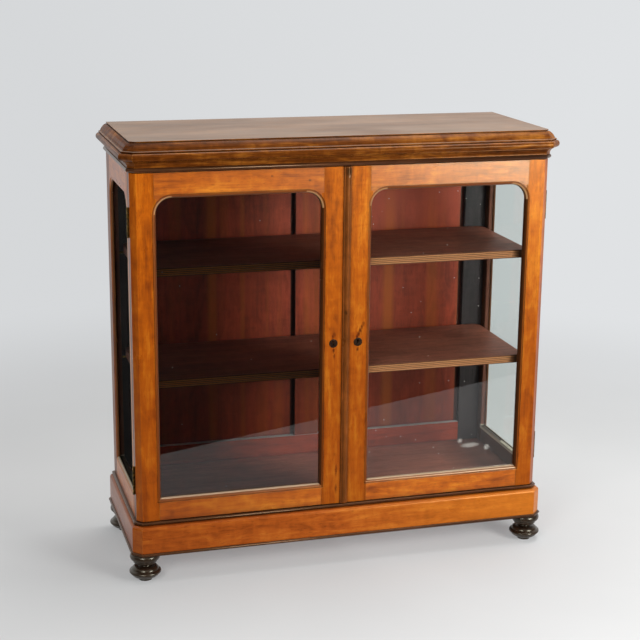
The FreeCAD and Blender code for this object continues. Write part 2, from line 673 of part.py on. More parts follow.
def doors():
    """Both doors. The right one has the wider meeting stile, because it carries the astragal."""
    left = door(MEETING_X - DOOR_MEETING_GAP)
    right = placed_frame(door(-MEETING_X), mirrored)
    left["b"] = left["b"].cut(escutcheon_recess(-KEYHOLE_X, DUMMY_KEYHOLE_DEPTH))
    left["b"] = left["b"].cut(lock_bolt_mortise()).cut(flush_bolt_recess())
    right["b"] = right["b"].cut(escutcheon_recess(KEYHOLE_X, DOOR_T)).cut(lock_envelope())
    return {"left": left, "right": right}


def astragal():
    """Cover strip down the meeting edge of the right door: a half round between two flat edges."""
    x = ASTRAGAL_W / 2
    shoulder = x - ASTRAGAL_EDGE_OUT
    edge_y = FACE_Y - ASTRAGAL_EDGE_OUT
    outline = [(x, edge_y), (shoulder, edge_y), ((0, FACE_Y - ASTRAGAL_OUT), (-shoulder, edge_y)),
               (-x, edge_y), (-x, FACE_Y)]
    section = face_from((x, FACE_Y), outline, lambda u, y: Vector(u, y, DOOR_Z))
    return section.extrude(UP * DOOR_H)


# ---------------------------------------------------------------- hinges, on the left-hand side
def hinge_leaf(z, fixed):
    """One leaf with its knuckles. The fixed leaf has the odd knuckles and holds the pin."""
    sign = 1 if fixed else -1
    near = HINGE_Y + sign * HINGE_LEAF_GAP / 2
    far = near + sign * HINGE_LEAF_T
    y0, y1 = min(near, far), max(near, far)
    low = z - HINGE_H / 2
    pitch = HINGE_H / HINGE_KNUCKLES
    pieces = [box(-HALF_W, -HALF_W + HINGE_LEAF_W, y0, y1, low, low + HINGE_H)]
    for index in range(0 if fixed else 1, HINGE_KNUCKLES, 2):
        z0 = low + index * pitch + HINGE_KNUCKLE_GAP / 2
        length = pitch - HINGE_KNUCKLE_GAP
        axis_foot = Vector(HINGE_X, HINGE_Y, z0)
        web = box(HINGE_X, -HALF_W, y0, y1, z0, z0 + length)
        knuckle = cylinder(HINGE_KNUCKLE_R, length, axis_foot, UP)
        pieces += [web, knuckle]
    leaf = fused(pieces)
    if fixed:
        leaf = fused([leaf, cylinder(HINGE_PIN_R, HINGE_H, Vector(HINGE_X, HINGE_Y, low), UP)])
    else:
        bore = HINGE_PIN_R + HINGE_PIN_PLAY
        leaf = leaf.cut(cylinder(bore, HINGE_H + 2 * SLACK, Vector(HINGE_X, HINGE_Y, low - SLACK), UP))
    return leaf


def leaf_recess(z, fixed):
    """The shallow recess that lets a leaf into the wood."""
    sign = 1 if fixed else -1
    far = HINGE_Y + sign * (HINGE_LEAF_GAP / 2 + HINGE_LEAF_T)
    y0, y1 = min(HINGE_Y, far), max(HINGE_Y, far)
    return box(-HALF_W - SLACK, -HALF_W + HINGE_LEAF_W, y0, y1, z - HINGE_H / 2, z + HINGE_H / 2)


def screw_heads(fixed):
    """Where the heads of one side's hinge screws lie, and the way that the screws point."""
    sign = 1 if fixed else -1
    x = -HALF_W + HINGE_LEAF_W / 2
    y = HINGE_Y + sign * HINGE_LEAF_GAP / 2
    middle = (HINGE_SCREWS - 1) / 2
    spacing = HINGE_H / HINGE_SCREWS
    heads = [Vector(x, y, z + (index - middle) * spacing)
             for z in HINGE_CENTRES for index in range(HINGE_SCREWS)]
    return heads, BACK * sign


def screw_blank(head, into):
    """A countersunk screw, without its slot, that starts at head and points along into."""
    cone = Part.makeCone(SCREW_HEAD_R, SCREW_SHANK_R, SCREW_HEAD_H, head, into)
    shank = cylinder(SCREW_SHANK_R, SCREW_L - SCREW_HEAD_H, head + into * SCREW_HEAD_H, into)
    return fused([cone, shank])


def hinge_screws(fixed):
    """Slotted countersunk screws through one side's leaves, into the wood."""
    heads, into = screw_heads(fixed)
    slot = box(-SCREW_HEAD_R, SCREW_HEAD_R, -SCREW_SLOT_D, SCREW_SLOT_D,
               -SCREW_SLOT_W / 2, SCREW_SLOT_W / 2)
    return [screw_blank(head, into).cut(slot.translated(head)) for head in heads]


def screw_room(fixed):
    """The holes that those screws need."""
    heads, into = screw_heads(fixed)
    return Part.makeCompound([screw_blank(head, into) for head in heads])


def hinge_cut(fixed):
    """All that the left-hand hinges take out of the wood on one side."""
    recesses = [leaf_recess(z, fixed) for z in HINGE_CENTRES]
    return Part.makeCompound(recesses + screw_room(fixed).Solids)


def hinge_leaves(fixed):
    leaves = [hinge_leaf(z, fixed) for z in HINGE_CENTRES]
    return [leaf.cut(screw_room(fixed)) for leaf in leaves]


# ---------------------------------------------------------------- lock, escutcheons and flush bolt
def keyhole(x, y0, y1):
    """A keyhole: a round hole over a narrow slot."""
    hole = cylinder(KEYHOLE_R, y1 - y0, Vector(x, y0, LOCK_Z), BACK)
    slot = box(x - KEYHOLE_SLOT_W / 2, x + KEYHOLE_SLOT_W / 2, y0, y1, LOCK_Z - KEYHOLE_SLOT_H, LOCK_Z)
    return fused([hole, slot])


def escutcheon(x):
    y0 = FACE_Y - ESCUTCHEON_PROUD
    centre = Vector(x, y0, LOCK_Z - KEYHOLE_R)
    disc = cylinder(ESCUTCHEON_R, ESCUTCHEON_T, centre, BACK)
    front = [edge for edge in disc.Edges if edge.BoundBox.YMax < y0 + SCREW_SLOT_D]
    disc = disc.makeFillet(ESCUTCHEON_PROUD / 2, front)
    return disc.cut(keyhole(x, y0 - SLACK, y0 + ESCUTCHEON_T + SLACK))


def escutcheon_recess(x, depth):
    inner = FACE_Y - ESCUTCHEON_PROUD + ESCUTCHEON_T
    centre = Vector(x, FACE_Y - SLACK, LOCK_Z - KEYHOLE_R)
    seat = cylinder(ESCUTCHEON_R, inner - FACE_Y + SLACK, centre, BACK)
    return seat.fuse(keyhole(x, FACE_Y - SLACK, FACE_Y + depth))


def lock_envelope():
    """The block of wood that the lock case takes the place of."""
    return box(MEETING_X, LOCK_END_X, DOOR_BACK_Y - LOCK_D, DOOR_BACK_Y,
               LOCK_Z - LOCK_H / 2, LOCK_Z + LOCK_H / 2)


def lock_bolt_bar(play, x0, length):
    """The lock bolt's section, run from x0, with some play around it."""
    y = DOOR_BACK_Y - LOCK_D / 2
    return box(x0, x0 + length, y - LOCK_BOLT_T / 2 - play, y + LOCK_BOLT_T / 2 + play,
               LOCK_Z - LOCK_BOLT_H / 2 - play, LOCK_Z + LOCK_BOLT_H / 2 + play)


def lock_case():
    case = lock_envelope()
    inside = box(MEETING_X + LOCK_WALL, LOCK_END_X - LOCK_WALL,
                 DOOR_BACK_Y - LOCK_D + LOCK_WALL, DOOR_BACK_Y - LOCK_WALL,
                 LOCK_Z - LOCK_H / 2 + LOCK_WALL, LOCK_Z + LOCK_H / 2 - LOCK_WALL)
    mouth = lock_bolt_bar(BOLT_PLAY, MEETING_X - SLACK, LOCK_WALL + 2 * SLACK)
    key = keyhole(KEYHOLE_X, DOOR_BACK_Y - LOCK_D - SLACK, DOOR_BACK_Y - LOCK_WALL - SLACK)
    return case.cut(inside).cut(mouth).cut(key)


def lock_bolt():
    return lock_bolt_bar(0, MEETING_X + DOOR_MEETING_GAP, LOCK_BOLT_L)


def lock_bolt_mortise():
    depth = LOCK_THROW + BOLT_PLAY
    edge = MEETING_X - DOOR_MEETING_GAP
    return lock_bolt_bar(BOLT_PLAY, edge - depth, depth + SLACK)


def flush_bolt_x():
    """Middle of the wood between the meeting edge and the glass rebate of the left door."""
    return (MEETING_X - DOOR_MEETING_GAP - SIGHT_X + REBATE_W) / 2


def flush_bolt_y():
    return DOOR_BACK_Y - FLUSH_PLATE_T - FLUSH_BOLT_R - BOLT_PLAY


def flush_rod(play, z0, z1):
    return cylinder(FLUSH_BOLT_R + play, z1 - z0, Vector(flush_bolt_x(), flush_bolt_y(), z0), UP)


def flush_bolt():
    """A rod in the back of the left door, with a knob to push it up by."""
    rod = flush_rod(0, DOOR_TOP_Z - FLUSH_PLATE_H + FLUSH_THROW, DOOR_TOP_Z - BOLT_PLAY)
    start = Vector(flush_bolt_x(), flush_bolt_y(), DOOR_TOP_Z - FLUSH_KNOB_DROP)
    reach = DOOR_BACK_Y + FLUSH_KNOB_OUT - flush_bolt_y()
    return fused([rod, cylinder(FLUSH_KNOB_R, reach, start, BACK)])


def flush_plate_block():
    half = FLUSH_PLATE_W / 2
    x = flush_bolt_x()
    return box(x - half, x + half, DOOR_BACK_Y - FLUSH_PLATE_T, DOOR_BACK_Y,
               DOOR_TOP_Z - FLUSH_PLATE_H, DOOR_TOP_Z)


def flush_bolt_plate():
    half = FLUSH_KNOB_R + BOLT_PLAY
    x = flush_bolt_x()
    low = DOOR_TOP_Z - FLUSH_KNOB_DROP
    slot = box(x - half, x + half, DOOR_BACK_Y - FLUSH_PLATE_T - SLACK, DOOR_BACK_Y + SLACK,
               low - half, low + FLUSH_THROW + half)
    return flush_plate_block().cut(slot)


def flush_bolt_recess():
    x = flush_bolt_x()
    half = FLUSH_BOLT_R + BOLT_PLAY
    groove = box(x - half, x + half, flush_bolt_y() - half, DOOR_BACK_Y,
                 DOOR_TOP_Z - FLUSH_PLATE_H + FLUSH_THROW - BOLT_PLAY, DOOR_TOP_Z + SLACK)
    return fused([groove, flush_plate_block()])


def flush_bolt_socket():
    """The hole above the left door that the flush bolt goes up into."""
    top = DOOR_TOP_Z + FLUSH_THROW
    return flush_rod(BOLT_PLAY, CORNICE_BEAD_Z - SLACK, top + BOLT_PLAY)


# ---------------------------------------------------------------- the whole piece
def all_pieces():
    pieces = {"top_board": top_board(), "cornice_bead": cornice_bead()}
    for name, shape in cornice().items():
        pieces["cornice_" + name] = shape
    for name, shape in plinth().items():
        pieces["plinth_" + name] = shape
    pieces["plinth_beads"] = plinth_beads()
    pieces["corner_blocks"] = corner_blocks()
    for name, shape in feet().items():
        pieces["foot_" + name] = shape
    frames = sides()
    for hand, parts in frames.items():
        pieces["side_%s_front_stile" % hand] = parts["a"]
        pieces["side_%s_back_stile" % hand] = parts["b"]
        for name in ("top_rail", "bottom_rail", "glass"):
            pieces["side_%s_%s" % (hand, name)] = parts[name]
    beads = [strip for parts in frames.values() for strip in parts["beads"].Solids]
    pieces["side_glass_beads"] = Part.makeCompound(beads)
    pieces.update(back_frame())
    pieces["bottom_board"] = bottom_board()
    pieces["front_top_rail"] = front_top_rail()
    for name, top_z in SHELF_HEIGHTS.items():
        pieces[name] = shelf(top_z)
    pieces["shelf_pins"] = shelf_pins()
    for hand, parts in doors().items():
        pieces["door_%s_hinge_stile" % hand] = parts["a"]
        pieces["door_%s_meeting_stile" % hand] = parts["b"]
        for name in ("top_rail", "bottom_rail", "glass"):
            pieces["door_%s_%s" % (hand, name)] = parts[name]
        pieces["door_%s_glass_beads" % hand] = parts["beads"]
    pieces["astragal"] = astragal()
    pieces.update(hardware())
    return pieces


def on_both_sides(shapes):
    return Part.makeCompound(shapes + [mirrored(shape) for shape in shapes])


def hardware():
    leaves, screws = hinge_leaves(fixed=False), hinge_screws(fixed=False)
    return {"hinge_leaves_cabinet": on_both_sides(hinge_leaves(fixed=True)),
            "hinge_leaves_door_left": Part.makeCompound(leaves),
            "hinge_leaves_door_right": mirrored(Part.makeCompound(leaves)),
            "hinge_screws_cabinet": on_both_sides(hinge_screws(fixed=True)),
            "hinge_screws_door_left": Part.makeCompound(screws),
            "hinge_screws_door_right": mirrored(Part.makeCompound(screws)),
            "escutcheon_left": escutcheon(-KEYHOLE_X),
            "escutcheon_right": escutcheon(KEYHOLE_X),
            "lock_case": lock_case(),
            "lock_bolt": lock_bolt(),
            "flush_bolt": flush_bolt(),
            "flush_bolt_plate": flush_bolt_plate()}


os.makedirs("parts", exist_ok=True)
for node, solid in all_pieces().items():
    solid.exportStep("parts/%s.step" % node)
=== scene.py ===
import math

import bpy
from bpy.props import FloatProperty, FloatVectorProperty, PointerProperty
from bpy.types import Operator, Panel, PropertyGroup
from mathutils import Matrix, Vector


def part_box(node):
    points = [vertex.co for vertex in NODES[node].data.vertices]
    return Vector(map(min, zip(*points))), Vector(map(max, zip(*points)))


bl_info = {
    "name": "Glazed bookcase",
    "version": (1, 0, 0),
    "blender": (4, 5, 0),
    "location": "View3D > Sidebar > Bookcase",
    "description": "Finishes, turned feet, key plates and studio of a low glazed bookcase",
    "category": "Object",
}

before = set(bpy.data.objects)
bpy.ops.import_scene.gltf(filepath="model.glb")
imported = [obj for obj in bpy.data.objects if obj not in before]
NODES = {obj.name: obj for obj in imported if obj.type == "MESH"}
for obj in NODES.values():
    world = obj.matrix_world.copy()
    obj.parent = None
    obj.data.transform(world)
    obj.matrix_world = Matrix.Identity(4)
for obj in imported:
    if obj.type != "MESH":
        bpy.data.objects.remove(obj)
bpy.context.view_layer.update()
MM = 0.001


# ------------------------------------------------------------------ places that the finishes refer to
def extent(node):
    """The lowest and highest corner of a node's box in the frame, in millimetres."""
    return [[round(value / MM, 1) for value in corner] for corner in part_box(node)]


STILE_LOW, STILE_HIGH = extent("door_right_hinge_stile")
PANE_LOW, PANE_HIGH = extent("door_right_glass")
RAIL_TOP = extent("door_right_bottom_rail")[1][2]
ASTRAGAL_LOW, ASTRAGAL_HIGH = extent("astragal")
SIDE_PANE = extent("side_right_glass")[1][0]
SIDE_LOW, SIDE_HIGH = extent("side_right_front_stile")
STRIPS_LOW = extent("side_glass_beads")[0][2]
SHELF_FRONT = extent("shelf_lower")[0][1]
MUNTIN_HIGH = extent("back_muntin")[1][0]
BACK_LEDGE = extent("back_muntin")[0][2]
BACK_RAIL_END = extent("back_rails")[1][0]

REBATE = 6.0
CORNER_R = 41.0
DOOR_FACE = STILE_LOW[1]
SIGHT_IN = PANE_LOW[0] + REBATE
SIGHT_OUT = PANE_HIGH[0] - REBATE
SIGHT_TOP = PANE_HIGH[2] - REBATE
SPRING = SIGHT_TOP - CORNER_R
PANE_MARKS = PANE_LOW[1] + 0.5
ASTRAGAL_FACE = ASTRAGAL_LOW[1]

# Stains on the doors' front: x, z, half width, half height in millimetres, and strength
STILE_STAINS = ((-31.5, 574, 3, 11, 0.8), (-27, 577, 3, 9, 0.7), (-29.5, 538, 4, 9, 0.9),
                (-28, 524, 3, 10, 0.7), (29, 569, 6, 6, 0.9), (32, 576, 5, 8, 0.9),
                (36, 584, 5, 8, 0.9), (40, 592, 4, 8, 0.85), (44, 600, 4, 9, 0.7),
                (30, 538, 4, 7, 0.85), (-19.8, 235, 3.5, 20, 0.75), (-19.8, 188, 4, 16, 0.75))
RAIL_STAINS = ((-91, 950, 5, 4, 0.8), (-181, 963, 4, 2.5, 0.8))


def linear(code):
    """An sRGB hex colour as linear RGBA."""
    parts = [int(code[i:i + 2], 16) / 255 for i in (1, 3, 5)]
    return tuple(c / 12.92 if c <= 0.04045 else ((c + 0.055) / 1.055) ** 2.4 for c in parts) + (1.0,)


def colour(name, description, code):
    return FloatVectorProperty(name=name, description=description, subtype="COLOR", size=4,
                               min=0.0, max=1.0, default=linear(code))


def length(name, description, millimetres):
    return FloatProperty(name=name, description=description, unit="LENGTH", min=0.0,
                         default=millimetres * MM)


# ------------------------------------------------------------------ what a user would change
class BOOKCASE_PG_colours(PropertyGroup):
    show_dark: colour("Show wood, dark", "Late wood of the polished satin walnut", "#6c2b09")
    show_mid: colour("Show wood", "Body colour of the polished satin walnut", "#ae5509")
    show_light: colour("Show wood, light", "Early wood of the polished satin walnut", "#d4811f")
    # Also laid as a painted highlight on the door openings' upper corner arcs and along the side's front
    # stile.
    rubbed: colour("Rubbed arrises", "Show wood where the polish is rubbed through", "#c99b6c")
    # Laid darker over the sunk mouldings round the glass.
    sticking: colour("Sticking", "Old polish and dirt in the mouldings round the glass", "#5f2e10")
    # Laid on the upward ledges of the door mouldings, as dust and as painted light from above.
    dust: colour("Dust", "Dust on the ledges under the glass", "#b2977c")
    base_dark: colour("Plinth, dark", "Late wood of the redder plinth boards", "#642607")
    base_mid: colour("Plinth", "Body colour of the plinth boards", "#9c4a14")
    base_light: colour("Plinth, light", "Early wood of the plinth boards", "#bb6a22")
    # Cornice tones: a darker copy of the walnut as painted shade; the light tone is also laid on the arrises
    # as a painted highlight.
    crown_dark: colour("Cornice, dark", "Late wood of the cornice mouldings", "#331404")
    crown_mid: colour("Cornice", "Body colour of the cornice mouldings", "#5f2f0a")
    crown_light: colour("Cornice, light", "Rubbed high places of the cornice mouldings", "#955a1c")
    top: colour("Top, faded", "Sun-faded upper face of the top", "#877464")
    bead: colour("Beads", "Stained beads", "#3a2012")
    astragal: colour("Astragal", "Stained cover strip between the doors", "#6a3713")
    ebony: colour("Feet", "Ebonised feet", "#23160e")
    inside: colour("Inside", "Stained boards inside", "#7e4a3b")
    shelf_edge: colour("Shelf edge", "Reeded front edge of a shelf, rubbed by hands and books", "#c08055")
    back: colour("Back", "Red-brown panels of the back", "#9c3a22")
    streak: colour("Back, streak", "Orange sapwood streaks of the back panels", "#c4621d")
    back_post: colour("Back, posts", "Stiles of the back, stained nearly black", "#2e2526")
    pine: colour("Hidden wood", "Unfinished pine", "#b58d5f")
    paper: colour("Paper", "Studio background paper", "#d1d1d0")
    backdrop: colour("Backdrop", "Background as the eye sees it", "#e0e2e4")


class BOOKCASE_PG_sizes(PropertyGroup):
    arris: length("Eased edge", "Width of the easing on every wooden arris", 0.7)
    figure: length("Figure", "Width of one light or dark band of the grain", 16.0)
    fibre: length("Fibre", "Width of one fibre streak, drawn coarse so that it shows", 2.4)
    pore: length("Pore", "Width of one open pore, drawn coarse so that it shows", 1.5)


# ------------------------------------------------------------------ shader helper
def add(tree, kind, inputs=(), stops=(), **settings):
    """Adds a shader node, sets it up, links or sets its inputs, and returns its outputs."""
    made = tree.nodes.new("ShaderNode" + kind)
    for name, value in settings.items():
        setattr(made, name, value)
    for key, value in dict(inputs).items():
        if isinstance(value, bpy.types.NodeSocket):
            tree.links.new(value, made.inputs[key])
        else:
            made.inputs[key].default_value = value
    for index, (place, tone) in enumerate(stops):
        elements = made.color_ramp.elements
        element = elements[index] if index < 2 else elements.new(place)
        element.position = place
        element.color = tone if isinstance(tone, tuple) else (tone, tone, tone, 1.0)
    return made.outputs


def new_material(name):
    material = bpy.data.materials.new(name)
    material.use_nodes = True
    material.node_tree.nodes.clear()
    return material, material.node_tree


def shade(tone, share):
    return tuple(min(1.0, c * share) for c in tone[:3]) + (1.0,)


# ------------------------------------------------------------------ woods
def board_coordinates(tree, grain):
    """Object coordinates turned so that X runs along the grain, shifted for each piece of wood."""
    place = add(tree, "TexCoord")["Object"]
    chance = add(tree, "ObjectInfo")["Random"]
    shift = add(tree, "VectorMath", {0: (13.0, 7.0, 19.0), 3: chance}, operation="SCALE")[0]
    parts = add(tree, "SeparateXYZ", {0: add(tree, "VectorMath", {0: place, 1: shift})[0]})
    order = {"X": (0, 1, 2), "Y": (1, 2, 0), "Z": (2, 0, 1)}[grain]
    return add(tree, "CombineXYZ", {i: parts[j] for i, j in enumerate(order)})[0]


def streaks(tree, board, along, across, detail=2.0, distortion=0.0):
    """Noise drawn out along the grain, for streaks of this size in metres."""
    scaled = add(tree, "Mapping", {0: board, "Scale": (1 / along, 1 / across, 1 / across)})[0]
    noise = {"Vector": scaled, "Scale": 1.0, "Detail": detail, "Distortion": distortion}
    return add(tree, "TexNoise", noise)[0]


def surface(tree):
    """Where a point lies, which way its face looks, and how far it is from the middle in X."""
    known = add(tree, "TexCoord")
    place = add(tree, "SeparateXYZ", {0: known["Object"]})
    facing = add(tree, "SeparateXYZ", {0: known["Normal"]})
    return place, facing, add(tree, "Math", {0: place["X"]}, operation="ABSOLUTE")[0]


def between(tree, value, low, high, soft=0.4):
    """One where the value lies between these millimetres, with a soft edge this wide."""
    rise = add(tree, "MapRange", {0: value, 1: (low - soft) * MM, 2: (low + soft) * MM})[0]
    fall = add(tree, "MapRange", {0: value, 1: (high - soft) * MM, 2: (high + soft) * MM, 3: 1.0, 4: 0.0})[0]
    return add(tree, "Math", {0: rise, 1: fall}, operation="MULTIPLY")[0]


def paint(tree, base, tone, strength, *shares):
    """Lays a colour over the base, this strongly where every share is one."""
    for share in shares:
        strength = add(tree, "Math", {0: share, 1: strength}, operation="MULTIPLY")[0]
    return add(tree, "Mix", {0: strength, 6: base, 7: tone}, data_type="RGBA")[2]


def stain(tree, base, centre, size, tone, strength=0.8):
    """Lays a ragged stain on the base: an ellipsoid at centre with these half axes, in millimetres."""
    place = add(tree, "TexCoord")["Object"]
    ragged = add(tree, "TexNoise", {"Vector": place, "Scale": 260.0, "Detail": 2.0})["Color"]
    rough = add(tree, "VectorMath", {0: ragged, 1: (0.5,) * 3}, operation="SUBTRACT")[0]
    moved = add(tree, "VectorMath", {0: rough, 1: (6 * MM,) * 3, 2: place}, operation="MULTIPLY_ADD")[0]
    away = add(tree, "VectorMath", {0: moved, 1: tuple(c * MM for c in centre)}, operation="SUBTRACT")[0]
    scaled = add(tree, "VectorMath", {0: away, 1: tuple(c * MM for c in size)}, operation="DIVIDE")[0]
    reach = add(tree, "VectorMath", {0: scaled}, operation="LENGTH")[1]
    share = add(tree, "MapRange", {0: reach, 1: 1.0, 2: 0.35, 3: 0.0, 4: strength})[0]
    return paint(tree, base, tone, share)


def face_stains(tree, base, tone, stains):
    """Lays stains of one colour on the front face of the doors."""
    for across, height, half_width, half_height, strength in stains:
        centre = (across, DOOR_FACE - 0.5, height)
        base = stain(tree, base, centre, (half_width, 6, half_height), tone, strength)
    return base


def wood(name, dark, mid, light, grain, gloss=0.28, coat=0.04, contrast=1.0, dirt=0.6, wear=0.3,
         level=0.55, polish="#ffc27c", marks=None):
    """A planed and finished board: growth bands, clouds, fibres, pores, worn arrises, and painted shade in
    hollows that also stands for dirt.
    """
    sizes = bpy.context.scene.bookcase_sizes
    material, tree = new_material(name)
    board = board_coordinates(tree, grain)
    bands = streaks(tree, board, sizes.figure * 14, sizes.figure, 4.0, 0.7)
    zones = streaks(tree, board, 0.30, 0.07, 2.0, 0.4)
    clouds = streaks(tree, board, 0.07, 0.022, 3.0, 1.2)
    fibres = streaks(tree, board, sizes.fibre * 26, sizes.fibre, 3.0)
    mottle = streaks(tree, board, 0.018, 0.05, 2.0, 0.8)
    pores = streaks(tree, board, sizes.pore * 8, sizes.pore, 1.0)
    tone = add(tree, "Math", {0: bands, 1: 0.22}, operation="MULTIPLY")[0]
    for part, share in ((zones, 0.24), (clouds, 0.28), (fibres, 0.14), (mottle, 0.12)):
        tone = add(tree, "Math", {0: part, 1: share, 2: tone}, operation="MULTIPLY_ADD")[0]
    spread = 0.15 / contrast
    base = add(tree, "ValToRGB", {0: tone}, [(0.5 - spread, dark), (0.5 + spread, light), (0.5, mid)])[0]
    pitted = add(tree, "ValToRGB", {0: pores}, [(0.62, 0.0), (0.72, 0.45)])[0]
    base = paint(tree, base, shade(dark, 0.4), pitted)
    if marks:
        base = marks(tree, board, base)
    if wear:
        rounded = add(tree, "Bevel", {"Radius": 1.8 * MM}, samples=4)[0]
        face = add(tree, "NewGeometry")["Normal"]
        along = add(tree, "VectorMath", {0: rounded, 1: face}, operation="DOT_PRODUCT")[1]
        edge = add(tree, "ValToRGB", {0: along}, [(0.82, wear), (0.985, 0.0)])[0]
        patches = streaks(tree, board, 0.035, 0.02, 3.0)
        rubbed = add(tree, "ValToRGB", {0: patches}, [(0.40, 0.0), (0.60, 1.0)])[0]
        edge = add(tree, "Math", {0: edge, 1: rubbed}, operation="MULTIPLY")[0]
        base = paint(tree, base, shade(light, 1.7), edge)
    # Painted shade, also standing for dirt in the quirks: darker wherever ambient occlusion finds a hollow
    # within 8 mm; dirt sets how strong.
    if dirt:
        open_air = add(tree, "AmbientOcclusion", {"Distance": 0.008}, samples=6)["AO"]
        hollow_shade_and_dirt = add(tree, "ValToRGB", {0: open_air}, [(0.40, dirt), (0.85, 0.0)])[0]
        base = paint(tree, base, shade(dark, 0.2), hollow_shade_and_dirt)
    cloudy = streaks(tree, board, 0.10, 0.05, 3.0)
    rough = add(tree, "MapRange", {0: cloudy, 3: gloss * 0.85, 4: gloss * 1.25})[0]
    relief = add(tree, "Math", {0: pores, 1: -0.5, 2: fibres}, operation="MULTIPLY_ADD")[0]
    bump = add(tree, "Bump", {"Strength": 0.08, "Distance": 0.15 * MM, "Height": relief})[0]
    shader = add(tree, "BsdfPrincipled", {"Base Color": base, "Roughness": rough, "Normal": bump,
                                          "Specular IOR Level": level, "Coat Weight": coat,
                                          "Specular Tint": linear(polish),
                                          "Coat Roughness": gloss * 0.55})[0]
    add(tree, "OutputMaterial", {0: shader})
    return material


def sticking(tree, board, base):
    """A darker brown in the mouldings round the glass, with painted shade on their sides that face away from
    the light and in the small step, a painted highlight on the upper corner arcs, and dust with painted
    light on the ledges that look up.
    """
    tones = bpy.context.scene.bookcase_colours
    place, facing, side = surface(tree)
    sunk = between(tree, place["Y"], DOOR_FACE + 1.2, PANE_MARKS)
    opening = between(tree, side, 20, 490)
    # Darker brown over the sunk mouldings round the glass.
    base = paint(tree, base, tones.sticking[:], 0.85, sunk, opening)
    # Painted shade: near black on the mouldings' faces that turn towards -X, away from the light.
    shaded = add(tree, "MapRange", {0: facing["X"], 1: -0.10, 2: -0.45})[0]
    base = paint(tree, base, linear("#1c0c05"), 0.75, sunk, opening, shaded)
    # Painted highlight, also standing for rubbed wear: a light line along the upper corner arc of each
    # opening.
    inner, outer = SIGHT_IN + CORNER_R, SIGHT_OUT - CORNER_R
    for middle, start, end in ((inner, 40, inner), (outer, outer, 470)):
        spot = add(tree, "CombineXYZ", {0: side, 2: place["Z"]})[0]
        centre = (middle * MM, 0.0, SPRING * MM)
        reach = add(tree, "VectorMath", {0: spot, 1: centre}, operation="DISTANCE")[1]
        corner = between(tree, side, start, end)
        upper = between(tree, place["Z"], SPRING, SIGHT_TOP + 10)
        line = between(tree, reach, CORNER_R - 3.0, CORNER_R + 0.5, 0.8)
        base = paint(tree, base, tones.rubbed[:], 0.6, sunk, corner, upper, line)
    # Painted shadow: a dark line in the small step outside the moulding.
    step = between(tree, place["Y"], DOOR_FACE + 0.2, DOOR_FACE + 1.1, 0.15)
    base = paint(tree, base, linear("#3a1808"), 0.8, step, opening)
    # Dust and painted light: the ledges that look up are laid pale.
    ledge = add(tree, "MapRange", {0: facing["Z"], 1: 0.70, 2: 0.80})[0]
    return paint(tree, base, tones.dust[:], 0.9, sunk, opening, ledge)


def old_polish(tree, base, *edges):
    """Polish that has gone dark towards these edges: (coordinate, millimetres, how far it reaches)."""
    tone = bpy.context.scene.bookcase_colours.show_dark[:]
    place = add(tree, "TexCoord")["Object"]
    ragged = add(tree, "TexNoise", {"Vector": place, "Scale": 45.0, "Detail": 3.0})[0]
    for value, edge, reach in edges:
        away = add(tree, "Math", {0: value, 1: edge * MM}, operation="SUBTRACT")[0]
        away = add(tree, "Math", {0: away}, operation="ABSOLUTE")[0]
        near = add(tree, "MapRange", {0: away, 1: 0.0, 2: reach * MM, 3: 1.0, 4: 0.0})[0]
        base = paint(tree, base, tone, 1.1, near, ragged)
    return base


def door_stile(tree, board, base):
    """Painted shade darker towards the bottom, finger stains and dirt on the door stiles, over the dark
    sticking.
    """
    place, _, side = surface(tree)
    # Painted shade: the stiles darken towards the bottom, away from the light above.
    low = add(tree, "MapRange", {0: place["Z"], 1: 0.90, 2: 0.45, 3: 0.0, 4: 0.45})[0]
    base = paint(tree, base, bpy.context.scene.bookcase_colours.show_dark[:], 1.0, low)
    base = old_polish(tree, base, (side, ASTRAGAL_HIGH[0], 9), (side, SIGHT_IN - 2, 9),
                      (side, SIGHT_OUT, 9), (side, STILE_HIGH[0], 12))
    joint = between(tree, place["X"], STILE_LOW[0] - 0.5, STILE_LOW[0] + 3.0, 0.8)
    base = paint(tree, base, linear("#2a1006"), 0.8, joint)
    base = sticking(tree, board, base)
    return face_stains(tree, base, linear("#4a0e03"), STILE_STAINS)


def door_rail(tree, board, base):
    """Dark joint lines where the rails butt the stiles, redder blocks in the upper corners, and painted
    shade on the bottom rail towards the left.
    """
    place, _, side = surface(tree)
    height = place["Z"]
    block = between(tree, height, SPRING - 14, SIGHT_TOP - 2)
    base = paint(tree, base, linear("#8a3a10"), 0.55, block)
    # Painted shade: the bottom rail darkens towards the left, away from the light.
    foot = add(tree, "MapRange", {0: place["X"], 1: 0.0, 2: -0.3, 3: 0.0, 4: 0.45})[0]
    bottom = between(tree, height, STILE_LOW[2] - 9, RAIL_TOP + 2)
    base = paint(tree, base, bpy.context.scene.bookcase_colours.show_dark[:], 1.0, foot, bottom)
    base = old_polish(tree, base, (height, SIGHT_TOP + 1, 8), (height, STILE_HIGH[2], 6),
                      (height, STILE_LOW[2], 12))
    base = sticking(tree, board, base)
    for shoulder in (SIGHT_IN, SIGHT_OUT):
        joint = between(tree, side, shoulder - 0.9, shoulder + 0.9, 0.3)
        base = paint(tree, base, linear("#2a1006"), 0.6, joint)
    return face_stains(tree, base, linear("#3a1606"), RAIL_STAINS)


